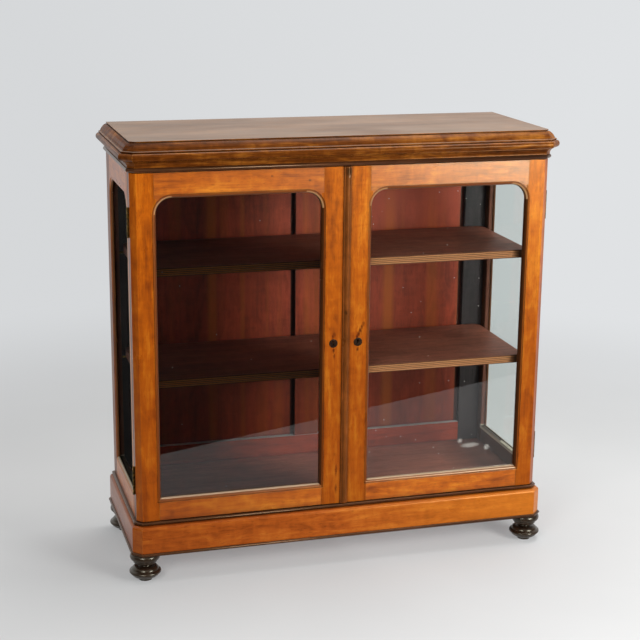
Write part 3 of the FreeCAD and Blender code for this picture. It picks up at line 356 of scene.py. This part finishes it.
def side_frame(tree, board, base):
    """Side stiles and rails: a dark reveal and a dusty ledge outside the glass, painted shade near black
    towards the inside and on the outer face at the front and rear edges, and a painted highlight along the
    front stile's inner edge.
    """
    tones = bpy.context.scene.bookcase_colours
    place, facing, side = surface(tree)
    pane, face = SIDE_PANE, SIDE_HIGH[0]
    reveal = between(tree, side, pane - 2, face - 2)
    base = paint(tree, base, linear("#4c3a2c"), 0.85, reveal)
    ledge = add(tree, "MapRange", {0: facing["Z"], 1: 0.5, 2: 0.8})[0]
    base = paint(tree, base, linear("#a3987c"), 0.9, between(tree, side, pane - 2, face + 3), ledge)
    outer = between(tree, side, face - 2, face + 4)
    # Painted shadow: near black on the outer face along the front edge, where the door meets the side.
    front = between(tree, place["Y"], SIDE_LOW[1] - 3.5, SIDE_LOW[1] + 12.5, 1.5)
    base = paint(tree, base, linear("#1d0f0a"), 0.85, outer, front)
    # Painted shade: the outer face darker towards the rear edge.
    rear = between(tree, place["Y"], 150, 200, 4.0)
    base = paint(tree, base, linear("#2a1a12"), 0.55, outer, rear)
    # Painted highlight in the rubbed colour: a pale line along the inner edge of the front stile's outer
    # face.
    arris = between(tree, place["Y"], SIDE_HIGH[1] - 13, SIDE_HIGH[1] - 1, 2.0)
    base = paint(tree, base, tones.rubbed[:], 0.8, outer, arris, between(tree, place["Z"], 212, 915, 6.0))
    # Painted shade: near black on the faces inside the glass.
    return paint(tree, base, linear("#150b07"), 0.9, between(tree, side, SIDE_LOW[0] - 8, pane - 2.5))


def show_wood(grain, name="polished_satin_walnut", marks=None, level=0.55, polish="#ffc27c"):
    """Satin walnut, planed and French polished: warm orange-brown with soft bands and a low sheen."""
    tones = bpy.context.scene.bookcase_colours
    return wood("%s_%s" % (name, grain.lower()), tones.show_dark[:], tones.show_mid[:],
                tones.show_light[:], grain, level=level, polish=polish, marks=marks)


def plinth_wood(grain):
    """The same walnut from a redder log, on the plinth, with painted light: lighter towards the right end
    and darkest at the left end.
    """
    tones = bpy.context.scene.bookcase_colours

    def faded(tree, board, base):
        place = surface(tree)[0]
        # Painted light and shade: lighter towards the right, where the light comes from, and darker towards
        # the left.
        right = add(tree, "MapRange", {0: place["X"], 1: 0.0, 2: 0.55, 3: 0.0, 4: 0.38})[0]
        left = add(tree, "MapRange", {0: place["X"], 1: -0.1, 2: -0.55, 3: 0.0, 4: 0.4})[0]
        base = paint(tree, base, tones.show_light[:], 1.0, right)
        return paint(tree, base, tones.base_dark[:], 1.0, left)

    return wood("polished_red_walnut_" + grain.lower(), tones.base_dark[:], tones.base_mid[:],
                tones.base_light[:], grain, marks=faded)


def faded_top(tree, board, base):
    """Sun-faded grey brown on the upper face, with a darker water-marked band."""
    tone = bpy.context.scene.bookcase_colours.top[:]
    facing = surface(tree)[1]
    upward = add(tree, "MapRange", {0: facing["Z"], 1: 0.9, 2: 0.99})[0]
    blotch = streaks(tree, board, 0.30, 0.10, 4.0, 0.6)
    faded = add(tree, "ValToRGB", {0: blotch}, [(0.30, shade(tone, 0.75)), (0.70, shade(tone, 1.25))])[0]
    mixed = paint(tree, base, faded, 0.75)
    return paint(tree, base, mixed, upward)


def crown_wood(grain, marks=None, name="polished_brown_walnut", level=0.22, gloss=0.22):
    """Walnut mouldings in a darker copy of the walnut as painted shade, darker again in the hollows from
    painted shade, and lightened on the proud members as rubbed wear and painted highlight.
    """
    tones = bpy.context.scene.bookcase_colours
    # The darker tones paint shade on the mouldings; wear=0.6 paints highlights along their arrises as well
    # as wear.
    return wood("%s_%s" % (name, grain.lower()), tones.crown_dark[:], tones.crown_mid[:],
                tones.crown_light[:], grain, gloss=gloss, contrast=1.3, wear=0.6, level=level,
                marks=marks)


def bead_wood():
    """Pear wood stained nearly black-brown and polished: small beads that read as dark lines."""
    tone = bpy.context.scene.bookcase_colours.bead[:]
    return wood("stained_pear_bead", shade(tone, 0.5), tone, shade(tone, 2.0), "X", gloss=0.30,
                coat=0.2, dirt=0.3, wear=0.5)


def astragal_wood():
    """Stained pear strip, handled at the height of the keys, with two chips near the top."""
    tone = bpy.context.scene.bookcase_colours.astragal[:]

    def marks(tree, board, base):
        face = ASTRAGAL_FACE + 0.5
        base = stain(tree, base, (4, face, 968), (14, 12, 14), linear("#1a0d07"), 0.9)
        base = stain(tree, base, (-2, face, 631), (5, 8, 7), linear("#2a1206"))
        for height in (955, 958.5):
            base = stain(tree, base, (3, face, height), (1.6, 6, 1.6), linear("#c8b9a6"), 1.0)
        return base

    return wood("stained_pear_astragal", shade(tone, 0.45), tone, shade(tone, 1.8), "Z", wear=0.4,
                marks=marks)


def ebonised_wood():
    """Turned beech, ebonised and polished: near black with a brown rub where it stands proud."""
    tone = bpy.context.scene.bookcase_colours.ebony[:]
    return wood("ebonised_beech", shade(tone, 0.5), tone, shade(tone, 2.2), "Z", gloss=0.28, coat=0.3,
                dirt=0.3, wear=0.25, polish="#e8e0c0")


def inside_wood(grain, name="stained_inside_board", share=1.0, marks=None, contrast=1.0, gloss=0.55):
    """Softwood boards stained brown and waxed, dull beside the outside."""
    tone = shade(bpy.context.scene.bookcase_colours.inside[:], share)
    return wood("%s_%s" % (name, grain.lower()), shade(tone, 0.5), tone, shade(tone, 1.6), grain,
                gloss=gloss, coat=0.0, contrast=contrast, level=0.25, dirt=0.6, wear=0.15,
                polish="#ffd9c4", marks=marks)


def shelf_edge(tree, board, base):
    """The reeds of the front edge, rubbed light, with painted light on the left, dirt and painted shade in
    the grooves, and a painted shadow at the right end.
    """
    tone = bpy.context.scene.bookcase_colours.shelf_edge[:]
    place, facing = surface(tree)[:2]
    start, full = (SHELF_FRONT + 2.0) * MM, (SHELF_FRONT + 1.0) * MM
    crest = add(tree, "MapRange", {0: place["Y"], 1: start, 2: full})[0]
    base = paint(tree, base, tone, 0.9, crest)
    # Painted light: the reeds lighter towards the left, where less lamp light reaches.
    left = add(tree, "MapRange", {0: place["X"], 1: 150 * MM, 2: -450 * MM})[0]
    base = paint(tree, base, linear("#e8904f"), 0.9, crest, left)
    # Dirt and painted shade: the grooves between the reeds darker.
    groove = between(tree, place["Y"], SHELF_FRONT + 0.55, SHELF_FRONT + 2.3, 0.2)
    front = add(tree, "MapRange", {0: facing["Y"], 1: -0.2, 2: -0.4})[0]
    base = paint(tree, base, linear("#4a2413"), 0.9, groove, front)
    # Painted shadow: near black at the right end, in the shadow of the stiles.
    return paint(tree, base, linear("#180c07"), 0.9, between(tree, place["X"], 447, 500, 6), crest)


def strip_dust(tree, board, base):
    """Pale dust on the upper faces of the strips at the glass and all over the sides' lowest strip."""
    dust = linear("#c9bda8")
    place, facing, side = surface(tree)
    upward = add(tree, "MapRange", {0: facing["Z"], 1: 0.5, 2: 0.8})[0]
    base = paint(tree, base, dust, 0.9, upward)
    lowest = between(tree, place["Z"], STRIPS_LOW - 4, STRIPS_LOW + 12)
    at_side = between(tree, side, SIDE_LOW[0] - 4, SIDE_PANE - 1)
    return paint(tree, base, dust, 0.9, lowest, at_side)


def bottom_shade(tree, board, base):
    """The right end of the bottom board, darkened as a painted shadow of the back post."""
    place = surface(tree)[0]
    end = add(tree, "MapRange", {0: place["X"], 1: 0.33, 2: 0.43})[0]
    # Painted shadow at the right end of the board.
    return paint(tree, base, linear("#2b2422"), 0.75, end)


def raw_outside(tree, board, base):
    """The faces that look to the wall are left unstained and have gone brown."""
    facing = surface(tree)[1]
    rear = add(tree, "MapRange", {0: facing["Y"], 1: 0.80, 2: 0.95})[0]
    figure = streaks(tree, board, 0.35, 0.012, 4.0, 0.5)
    raw = add(tree, "ValToRGB", {0: figure}, [(0.30, linear("#6a4b2c")), (0.70, linear("#a98356"))])[0]
    return paint(tree, base, raw, 0.95, rear)


def back_ledge(tree, board, base):
    """A pale bluish-grey line on the ledge of the lower rail of the back: a painted highlight."""
    place, facing = surface(tree)[:2]
    # Painted highlight on the upward faces at the height of the ledge.
    upward = add(tree, "MapRange", {0: facing["Z"], 1: 0.3, 2: 0.6})[0]
    ledge = between(tree, place["Z"], BACK_LEDGE - 6, BACK_LEDGE + 6)
    base = paint(tree, base, linear("#c9d0d4"), 0.85, upward, ledge)
    return raw_outside(tree, board, base)


def back_panel_wood():
    """Red-stained panels with upright grain, paler orange sapwood streaks, painted shade low down, a painted
    sheen high on the right, and painted shadow lines.
    """
    tones = bpy.context.scene.bookcase_colours

    def sapwood(tree, board, base):
        wide = streaks(tree, board, 3.0, 0.06, 2.0, 0.2)
        share = add(tree, "ValToRGB", {0: wide}, [(0.50, 0.0), (0.66, 0.7)])[0]
        base = paint(tree, base, tones.streak[:], 1.0, share)
        place = surface(tree)[0]
        # Painted shade: the panels darker towards the bottom.
        low = add(tree, "MapRange", {0: place["Z"], 1: 0.52, 2: 0.42, 3: 0.0, 4: 0.5})[0]
        base = paint(tree, base, shade(tones.back[:], 0.25), 1.0, low)
        # Painted sheen: lighter high up on the right half.
        high = add(tree, "MapRange", {0: place["Z"], 1: 0.70, 2: 0.85, 3: 0.0, 4: 0.6})[0]
        right = add(tree, "MapRange", {0: place["X"], 1: 0.0, 2: 0.1})[0]
        base = paint(tree, base, shade(tones.back[:], 1.8), 1.0, high, right)
        for edge in (-MUNTIN_HIGH, BACK_RAIL_END):
            shadow = between(tree, place["X"], edge - 9, edge + 1, 1.5)
            base = paint(tree, base, linear("#0d0605"), 0.9, shadow)
        return raw_outside(tree, board, base)

    return wood("red_stained_back_panel", shade(tones.back[:], 0.45), tones.back[:],
                shade(tones.back[:], 1.6), "Z", gloss=0.42, coat=0.0, level=0.35, wear=0.0,
                polish="#ffe2d8", marks=sapwood)


def back_rail_wood():
    """The rails of the back, in the panels' red-brown, with a painted highlight on the lower ledge."""
    tone = bpy.context.scene.bookcase_colours.back[:]
    return wood("red_stained_back_rail", shade(tone, 0.45), tone, shade(tone, 1.5), "X", gloss=0.42,
                coat=0.0, level=0.35, wear=0.0, polish="#ffe2d8", marks=back_ledge)


def back_post_wood():
    """The posts of the back, stained nearly black."""
    tone = bpy.context.scene.bookcase_colours.back_post[:]
    return wood("black_stained_back_post", shade(tone, 0.5), tone, shade(tone, 1.6), "Z", gloss=0.42,
                coat=0.0, level=0.2, wear=0.0, polish="#ffffff", marks=raw_outside)


def pine():
    """Unfinished pine, where no one looks."""
    tone = bpy.context.scene.bookcase_colours.pine[:]
    return wood("raw_pine", shade(tone, 0.6), tone, shade(tone, 1.25), "X", gloss=0.6, coat=0.0, dirt=0.3,
                wear=0.0)


# ------------------------------------------------------------------ glass and metals
def old_glass(name, specks, seed, passes="#eef4f1", index=1.5, smears=()):
    """Drawn sheet glass: clear, faintly green, a little wavy, with specks and smears of paint on it.

    A pane can let less lamp light through than the eye sees through it, a painted shade that keeps what
    stands behind it dark."""
    material, tree = new_material(name)
    place = add(tree, "TexCoord")["Object"]
    ripple = add(tree, "TexNoise", {"Vector": place, "Scale": 6.0, "Detail": 1.0})[0]
    bump = add(tree, "Bump", {"Strength": 0.08, "Distance": 0.5 * MM, "Height": ripple})[0]
    clear = add(tree, "BsdfPrincipled", {"Base Color": linear("#f4f8f6"), "Roughness": 0.0, "IOR": index,
                                         "Transmission Weight": 1.0, "Normal": bump})[0]
    open_way = add(tree, "BsdfTransparent", {"Color": linear(passes)})[0]
    path = add(tree, "LightPath")
    lamp_ray = add(tree, "Math", {0: path["Is Shadow Ray"], 1: path["Is Diffuse Ray"]},
                   operation="MAXIMUM")[0]
    pane = add(tree, "MixShader", {0: lamp_ray, 1: clear, 2: open_way})[0]
    spread = add(tree, "Mapping", {0: place, "Location": (seed, seed * 0.7, seed * 1.3)})[0]
    cells = add(tree, "TexVoronoi", {"Vector": spread, "Scale": 48.0})
    chance = add(tree, "SeparateColor", {0: cells["Color"]})
    size = add(tree, "Math", {0: chance[1], 1: 0.050, 2: 0.036}, operation="MULTIPLY_ADD")[0]
    near = add(tree, "Math", {0: cells["Distance"], 1: size}, operation="LESS_THAN")[0]
    chosen = add(tree, "Math", {0: chance[0], 1: specks}, operation="LESS_THAN")[0]
    speck = add(tree, "Math", {0: near, 1: chosen}, operation="MULTIPLY")[0]
    for centre, size in smears:
        speck = stain(tree, speck, centre, size, linear("#ffffff"), 0.20)
    dust = add(tree, "BsdfDiffuse", {"Color": linear("#cfc9c2")})[0]
    add(tree, "OutputMaterial", {0: add(tree, "MixShader", {0: speck, 1: pane, 2: dust})[0]})
    return material


def worn_metal(name, dull, bright, metallic, rough, cloud_size):
    """Metal with a tarnish that is rubbed through in places."""
    material, tree = new_material(name)
    place = add(tree, "TexCoord")["Object"]
    cloud = add(tree, "TexNoise", {"Vector": place, "Scale": 1 / cloud_size, "Detail": 4.0})[0]
    base = add(tree, "ValToRGB", {0: cloud}, [(0.40, linear(dull)), (0.66, linear(bright))])[0]
    roughness = add(tree, "MapRange", {0: cloud, 3: rough * 1.3, 4: rough * 0.7})[0]
    bump = add(tree, "Bump", {"Strength": 0.15, "Distance": 0.1 * MM, "Height": cloud})[0]
    shader = add(tree, "BsdfPrincipled", {"Base Color": base, "Metallic": metallic, "Roughness": roughness,
                                          "Normal": bump})[0]
    add(tree, "OutputMaterial", {0: shader})
    return material


# ------------------------------------------------------------------ pieces
def shading_group():
    """Modifier nodes that join the loose triangles and shade curved faces smooth, flat ones flat."""
    group = bpy.data.node_groups.get("joined_and_shaded")
    if group:
        return group
    group = bpy.data.node_groups.new("joined_and_shaded", "GeometryNodeTree")
    group.interface.new_socket("Mesh", in_out="INPUT", socket_type="NodeSocketGeometry")
    group.interface.new_socket("Mesh", in_out="OUTPUT", socket_type="NodeSocketGeometry")
    nodes, link = group.nodes, group.links.new
    start, end = nodes.new("NodeGroupInput"), nodes.new("NodeGroupOutput")
    join = nodes.new("GeometryNodeMergeByDistance")
    join.inputs["Distance"].default_value = 0.01 * MM
    smooth = nodes.new("GeometryNodeSetShadeSmooth")
    crease = nodes.new("GeometryNodeSetShadeSmooth")
    crease.domain = "EDGE"
    crease.inputs["Shade Smooth"].default_value = False
    angle = nodes.new("GeometryNodeInputMeshEdgeAngle")
    sharp = nodes.new("FunctionNodeCompare")
    sharp.inputs[1].default_value = math.radians(28)
    link(start.outputs[0], join.inputs[0])
    link(join.outputs[0], smooth.inputs["Geometry"])
    link(smooth.outputs[0], crease.inputs["Geometry"])
    link(angle.outputs["Unsigned Angle"], sharp.inputs[0])
    link(sharp.outputs[0], crease.inputs["Selection"])
    link(crease.outputs[0], end.inputs[0])
    return group


def dress(names, material, soften=True):
    """Gives CAD nodes their finish, smooth curved faces and, on wood, eased arrises."""
    for name in names:
        piece = NODES[name]
        piece.data.materials.clear()
        piece.data.materials.append(material)
        piece.modifiers.new("shading", "NODES").node_group = shading_group()
        if soften:
            flat = piece.modifiers.new("flats", "DECIMATE")
            flat.decimate_type = "DISSOLVE"
            flat.angle_limit = math.radians(0.3)
            ease = piece.modifiers.new("arris", "BEVEL")
            ease.width = bpy.context.scene.bookcase_sizes.arris
            ease.segments = 2
            ease.limit_method = "ANGLE"
            ease.angle_limit = math.radians(40)
            ease.harden_normals = True


class BOOKCASE_OT_outside(Operator):
    """Finish the polished outside of the bookcase"""
    bl_idname = "bookcase.outside"
    bl_label = "Polished outside"

    def execute(self, context):
        door_stiles = [n for n in NODES if n.startswith("door_") and n.endswith("_stile")]
        side_stiles = [n for n in NODES if n.startswith("side_") and n.endswith("_stile")]
        side_rails = [n for n in NODES if n.startswith("side_") and n.endswith("_rail")]
        door_rails = [n for n in NODES if n.startswith("door_") and n.endswith("_rail")]
        dress(door_stiles, show_wood("Z", "polished_satin_walnut_stile", door_stile))
        dress(door_rails, show_wood("X", "polished_satin_walnut_rail", door_rail, 0.85, "#fff0c8"))
        dress(side_stiles, show_wood("Z", "dull_satin_walnut", side_frame, 0.12))
        dress(side_rails, show_wood("Y", marks=side_frame))
        dress(["cornice_left", "cornice_right"], crown_wood("Y", gloss=0.35))
        dress(["cornice_front"], crown_wood("X"))
        dress(["top_board"], crown_wood("X", faded_top, "faded_walnut_top", 0.16, 0.45))
        dress(["plinth_front"], plinth_wood("X"))
        dress(["plinth_left", "plinth_right"], plinth_wood("Y"))
        return {"FINISHED"}


class BOOKCASE_OT_beads(Operator):
    """Finish the dark beads and the astragal"""
    bl_idname = "bookcase.beads"
    bl_label = "Dark beads"

    def execute(self, context):
        dress(["cornice_bead", "plinth_beads"], bead_wood())
        dress(["astragal"], astragal_wood())
        return {"FINISHED"}


class BOOKCASE_OT_inside(Operator):
    """Finish the boards, shelves and back that show through the glass"""
    bl_idname = "bookcase.inside"
    bl_label = "Inside"

    def execute(self, context):
        dress(["bottom_board"], inside_wood("X", "stained_bottom_board", 2.2, bottom_shade, 0.6))
        dress(["front_top_rail"], inside_wood("X"))
        dress(["back_rails"], back_rail_wood())
        shelves = inside_wood("X", "reeded_shelf_board", 1.3, shelf_edge, gloss=0.45)
        dress(["shelf_lower", "shelf_upper"], shelves)
        dress(["back_stiles"], back_post_wood())
        dress(["back_panels", "back_muntin"], back_panel_wood())
        dress(["plinth_back", "corner_blocks"], pine())
        strips = [n for n in NODES if n.endswith("glass_beads")]
        dress(strips, inside_wood("Z", "stained_glass_strip", 0.6, strip_dust))
        return {"FINISHED"}


class BOOKCASE_OT_glass(Operator):
    """Glaze the doors and the sides"""
    bl_idname = "bookcase.glass"
    bl_label = "Glass"

    def execute(self, context):
        smears = (((333, PANE_MARKS, 264), (30, 8, 8)), ((378, PANE_MARKS, 255), (10, 8, 10)),
                  ((306, PANE_MARKS, 278), (8, 8, 8)))
        # The left panes pass only a dim share of lamp light: painted shade inside the left half.
        panes = {"door_left": old_glass("left_door_glass_casting_painted_shade", 0.10, 3.0, "#6b6f6d"),
                 "door_right": old_glass("right_door_sheet_glass", 0.40, 8.0, smears=smears),
                 "side_right": old_glass("right_side_sheet_glass", 0.04, 5.0, index=1.2),
                 "side_left": old_glass("left_side_glass_casting_painted_shade", 0.04, 2.0, "#6b6f6d", 1.003)}
        for place, material in panes.items():
            dress([place + "_glass"], material, soften=False)
        return {"FINISHED"}


class BOOKCASE_OT_metal(Operator):
    """Finish the hinges, pins, screws, lock and bolt"""
    bl_idname = "bookcase.metal"
    bl_label = "Metal parts"

    def execute(self, context):
        brass = worn_metal("tarnished_cast_brass", "#4a3a1e", "#a08246", 1.0, 0.38, 6 * MM)
        steel = worn_metal("dulled_steel_screw", "#3c3a37", "#77736c", 1.0, 0.45, 3 * MM)
        iron = worn_metal("blackened_wrought_iron", "#17130f", "#3f3a33", 0.9, 0.42, 4 * MM)
        plate = worn_metal("browned_key_plate", "#0f0905", "#4a2f1a", 0.6, 0.34, 3 * MM)
        dress(["hinge_leaves_cabinet", "hinge_leaves_door_left", "hinge_leaves_door_right", "shelf_pins",
               "flush_bolt", "flush_bolt_plate"], brass, soften=False)
        screws = [n for n in NODES if n.startswith("hinge_screws")]
        dress(screws, steel, soften=False)
        dress(["lock_case", "lock_bolt"], iron, soften=False)
        dress(["escutcheon_left", "escutcheon_right"], plate, soften=False)
        return {"FINISHED"}


class BOOKCASE_OT_feet(Operator):
    """Finish the turned feet"""
    bl_idname = "bookcase.feet"
    bl_label = "Turned feet"

    def execute(self, context):
        dress([n for n in NODES if n.startswith("foot_")], ebonised_wood(), soften=False)
        return {"FINISHED"}


# ------------------------------------------------------------------ studio
CAMERA_PLACE = (-1.01013, -3.43378, 1.50959)
CAMERA_TURN, CAMERA_TILT, CAMERA_ROLL = -16.162, 14.735, 0.561
CAMERA_LENS = 83.683
SENSOR_WIDTH = 36.0
FARTHEST_SEEN = 400.0
FLOOR_HALF_WIDTH = 90.0
FLOOR_FRONT, FLOOR_BACK = -60.0, 200.0
# Where the mirrored floor ends: Y = slope times X + start, in metres
MIRRORED_SLOPE, MIRRORED_START = -0.374, -1.114
# Place, aim and size in metres, and power in watts
SOFTBOXES = {"key_softbox": ((1.5, -2.3, 1.12), (0.1, -0.15, 0.6), (1.05, 1.05), 62.0),
             "top_softbox": ((0.7, 0.3, 3.0), (0.2, -0.3, 0.0), (2.4, 1.6), 68.0),
             "left_softbox": ((-1.5, -2.1, 1.5), (0.0, -0.15, 0.6), (1.0, 1.0), 33.0)}


def softbox(name, place, aim, size, power):
    lamp = bpy.data.lights.new(name, "AREA")
    lamp.shape = "RECTANGLE"
    lamp.size, lamp.size_y = size
    lamp.energy = power
    made = bpy.data.objects.new(name, lamp)
    made.location = place
    made.rotation_euler = (Vector(aim) - Vector(place)).to_track_quat("-Z", "Y").to_euler()
    bpy.context.collection.objects.link(made)


def seen_rays(path, tree):
    """One for rays from the eye, also straight through glass, and none for rays that were mirrored."""
    mirrored = add(tree, "Math", {0: path["Glossy Depth"], 1: 0.5}, operation="GREATER_THAN")[0]
    through = add(tree, "Math", {0: path["Is Transmission Ray"], 1: mirrored}, operation="SUBTRACT",
                  use_clamp=True)[0]
    return add(tree, "Math", {0: path["Is Camera Ray"], 1: through}, operation="MAXIMUM")[0]


def backdrop_tone(tree, direction):
    """The backdrop's colour in a direction: a little darker towards the left."""
    tone = bpy.context.scene.bookcase_colours.backdrop[:]
    across = add(tree, "SeparateXYZ", {0: direction})["X"]
    return add(tree, "ValToRGB", {0: across}, [(0.05, shade(tone, 0.90)), (0.50, tone)])[0]


def studio_world():
    """Pale for the camera; reflections see a pale studio behind and a dark room in front."""
    world = bpy.data.worlds.new("studio")
    bpy.context.scene.world = world
    world.use_nodes = True
    tree = world.node_tree
    tree.nodes.clear()
    direction = add(tree, "TexCoord")["Generated"]
    seen = add(tree, "Background", {"Color": backdrop_tone(tree, direction), "Strength": 1.0})[0]
    way = add(tree, "SeparateXYZ", {0: direction})
    behind = add(tree, "MapRange", {0: way["Y"], 1: -0.25, 2: 0.55, 3: 0.02, 4: 0.86},
                 interpolation_type="SMOOTHSTEP")[0]
    above = add(tree, "MapRange", {0: way["Z"], 1: 0.25, 2: 0.95, 3: 0.0, 4: 0.55},
                interpolation_type="SMOOTHSTEP")[0]
    mirrored = add(tree, "Math", {0: behind, 1: above}, operation="MAXIMUM")[0]
    gloss = add(tree, "Background", {"Color": mirrored, "Strength": 1.0})[0]
    fill = add(tree, "MapRange", {0: way["Z"], 1: -0.3, 2: 0.8, 3: 0.19, 4: 0.27})[0]
    soft = add(tree, "Background", {"Color": fill, "Strength": 1.0})[0]
    path = add(tree, "LightPath")
    unseen = add(tree, "MixShader", {0: path["Is Glossy Ray"], 1: soft, 2: gloss})[0]
    add(tree, "OutputWorld", {0: add(tree, "MixShader", {0: seen_rays(path, tree), 1: unseen, 2: seen})[0]})


def background_paper():
    """Matt white paper: lit where the bookcase stands, with a faint glow there as painted light that lifts
    its shadows, and evenly pale to the eye further off.

    Polish does not mirror it in front, as a dark carpet would not be mirrored; glass does, as far as
    a slanting edge, past which reflections and bounced light see a dim room."""
    tone = bpy.context.scene.bookcase_colours.paper[:]
    material, tree = new_material("matt_background_paper")
    place = add(tree, "TexCoord")["Object"]
    cloud = add(tree, "TexNoise", {"Vector": place, "Scale": 1.4, "Detail": 3.0})[0]
    base = add(tree, "ValToRGB", {0: cloud}, [(0.35, shade(tone, 0.97)), (0.65, shade(tone, 1.03))])[0]
    near = add(tree, "BsdfPrincipled", {"Base Color": base, "Roughness": 0.9, "Specular IOR Level": 0.1})[0]
    direction = add(tree, "VectorMath", {0: place}, operation="NORMALIZE")[0]
    far = add(tree, "Emission", {"Color": backdrop_tone(tree, direction), "Strength": 1.0})[0]
    reach = add(tree, "VectorMath", {0: place}, operation="LENGTH")[1]
    # Near the bookcase a third of the paper's colour is a glow for all but bounced light: painted light that
    # lifts the floor's shadows.
    faded = add(tree, "MapRange", {0: reach, 1: 0.9, 2: 2.6, 3: 0.32}, interpolation_type="SMOOTHSTEP")[0]
    path = add(tree, "LightPath")
    lamp_ray = add(tree, "Math", {0: 1.0, 1: path["Is Diffuse Ray"]}, operation="SUBTRACT")[0]
    share = add(tree, "Math", {0: faded, 1: lamp_ray}, operation="MULTIPLY")[0]
    paper = add(tree, "MixShader", {0: share, 1: near, 2: far})[0]
    mirrored = add(tree, "Math", {0: 1.0, 1: seen_rays(path, tree)}, operation="SUBTRACT")[0]
    dark = add(tree, "Emission", {"Color": shade(tone, 0.16), "Strength": 1.0})[0]
    parts = add(tree, "SeparateXYZ", {0: place})
    front = add(tree, "MapRange", {0: parts["Y"], 1: -0.1, 2: -0.5})[0]
    blurred = add(tree, "Math", {0: path["Is Glossy Ray"], 1: path["Is Singular Ray"]},
                  operation="SUBTRACT", use_clamp=True)[0]
    inside = add(tree, "Math", {0: path["Is Transmission Ray"], 1: mirrored}, operation="MULTIPLY")[0]
    unmirrored = add(tree, "Math", {0: blurred, 1: inside}, operation="MAXIMUM")[0]
    hidden = add(tree, "Math", {0: unmirrored, 1: front}, operation="MULTIPLY")[0]
    paper = add(tree, "MixShader", {0: hidden, 1: paper, 2: dark})[0]
    room = add(tree, "MapRange", {0: path["Is Diffuse Ray"], 3: 0.02, 4: 0.19})[0]
    room = add(tree, "Emission", {"Color": room, "Strength": 1.0})[0]
    edge = add(tree, "Math", {0: parts["X"], 1: MIRRORED_SLOPE, 2: MIRRORED_START},
               operation="MULTIPLY_ADD")[0]
    past = add(tree, "Math", {0: parts["Y"], 1: edge}, operation="LESS_THAN")[0]
    past = add(tree, "Math", {0: past, 1: mirrored}, operation="MULTIPLY")[0]
    add(tree, "OutputMaterial", {0: add(tree, "MixShader", {0: past, 1: paper, 2: room})[0]})
    return material


class BOOKCASE_OT_stage(Operator):
    """Set up the floor, lights, background and camera"""
    bl_idname = "bookcase.stage"
    bl_label = "Studio"

    def execute(self, context):
        half, front, rear = FLOOR_HALF_WIDTH, FLOOR_FRONT, FLOOR_BACK
        corners = [(-half, front, 0.0), (half, front, 0.0), (half, rear, 0.0), (-half, rear, 0.0)]
        mesh = bpy.data.meshes.new("floor")
        mesh.from_pydata(corners, [], [(0, 1, 2, 3)])
        floor = bpy.data.objects.new("floor", mesh)
        context.collection.objects.link(floor)
        mesh.materials.append(background_paper())
        for name, (place, aim, size, power) in SOFTBOXES.items():
            softbox(name, place, aim, size, power)
        studio_world()
        turn, tilt = math.radians(CAMERA_TURN), math.radians(CAMERA_TILT)
        roll = math.radians(CAMERA_ROLL)
        right = Vector((math.cos(turn), math.sin(turn), 0.0))
        back = Vector((math.sin(turn) * math.cos(tilt), -math.cos(turn) * math.cos(tilt), math.sin(tilt)))
        up = back.cross(right)
        level = (right * math.cos(roll) + up * math.sin(roll), up * math.cos(roll) - right * math.sin(roll))
        data = bpy.data.cameras.new("camera")
        data.sensor_width = SENSOR_WIDTH
        data.lens = CAMERA_LENS
        data.clip_end = FARTHEST_SEEN
        camera = bpy.data.objects.new("camera", data)
        turned = Matrix((level[0], level[1], back)).transposed().to_4x4()
        camera.matrix_world = Matrix.Translation(CAMERA_PLACE) @ turned
        context.collection.objects.link(camera)
        context.scene.camera = camera
        context.scene.view_settings.view_transform = "Standard"
        return {"FINISHED"}


class BOOKCASE_PT_panel(Panel):
    """Everything that dresses the bookcase, in order"""
    bl_label = "Bookcase"
    bl_idname = "BOOKCASE_PT_panel"
    bl_space_type = "VIEW_3D"
    bl_region_type = "UI"
    bl_category = "Bookcase"

    def draw(self, context):
        for group in (context.scene.bookcase_colours, context.scene.bookcase_sizes):
            for name in group.__annotations__:
                self.layout.prop(group, name)
        for step in STEPS:
            self.layout.operator(step.bl_idname)


STEPS = (BOOKCASE_OT_outside, BOOKCASE_OT_beads, BOOKCASE_OT_inside, BOOKCASE_OT_glass, BOOKCASE_OT_metal,
         BOOKCASE_OT_feet, BOOKCASE_OT_stage)
GROUPS = {"bookcase_colours": BOOKCASE_PG_colours, "bookcase_sizes": BOOKCASE_PG_sizes}


def register():
    for each in (*GROUPS.values(), *STEPS, BOOKCASE_PT_panel):
        bpy.utils.register_class(each)
    for name, group in GROUPS.items():
        setattr(bpy.types.Scene, name, PointerProperty(type=group))


def unregister():
    for name in GROUPS:
        delattr(bpy.types.Scene, name)
    for each in reversed((*GROUPS.values(), *STEPS, BOOKCASE_PT_panel)):
        bpy.utils.unregister_class(each)


def main():
    register()
    for step in STEPS:
        area, name = step.bl_idname.split(".")
        getattr(getattr(bpy.ops, area), name)()


if __name__ == "__main__":
    main()
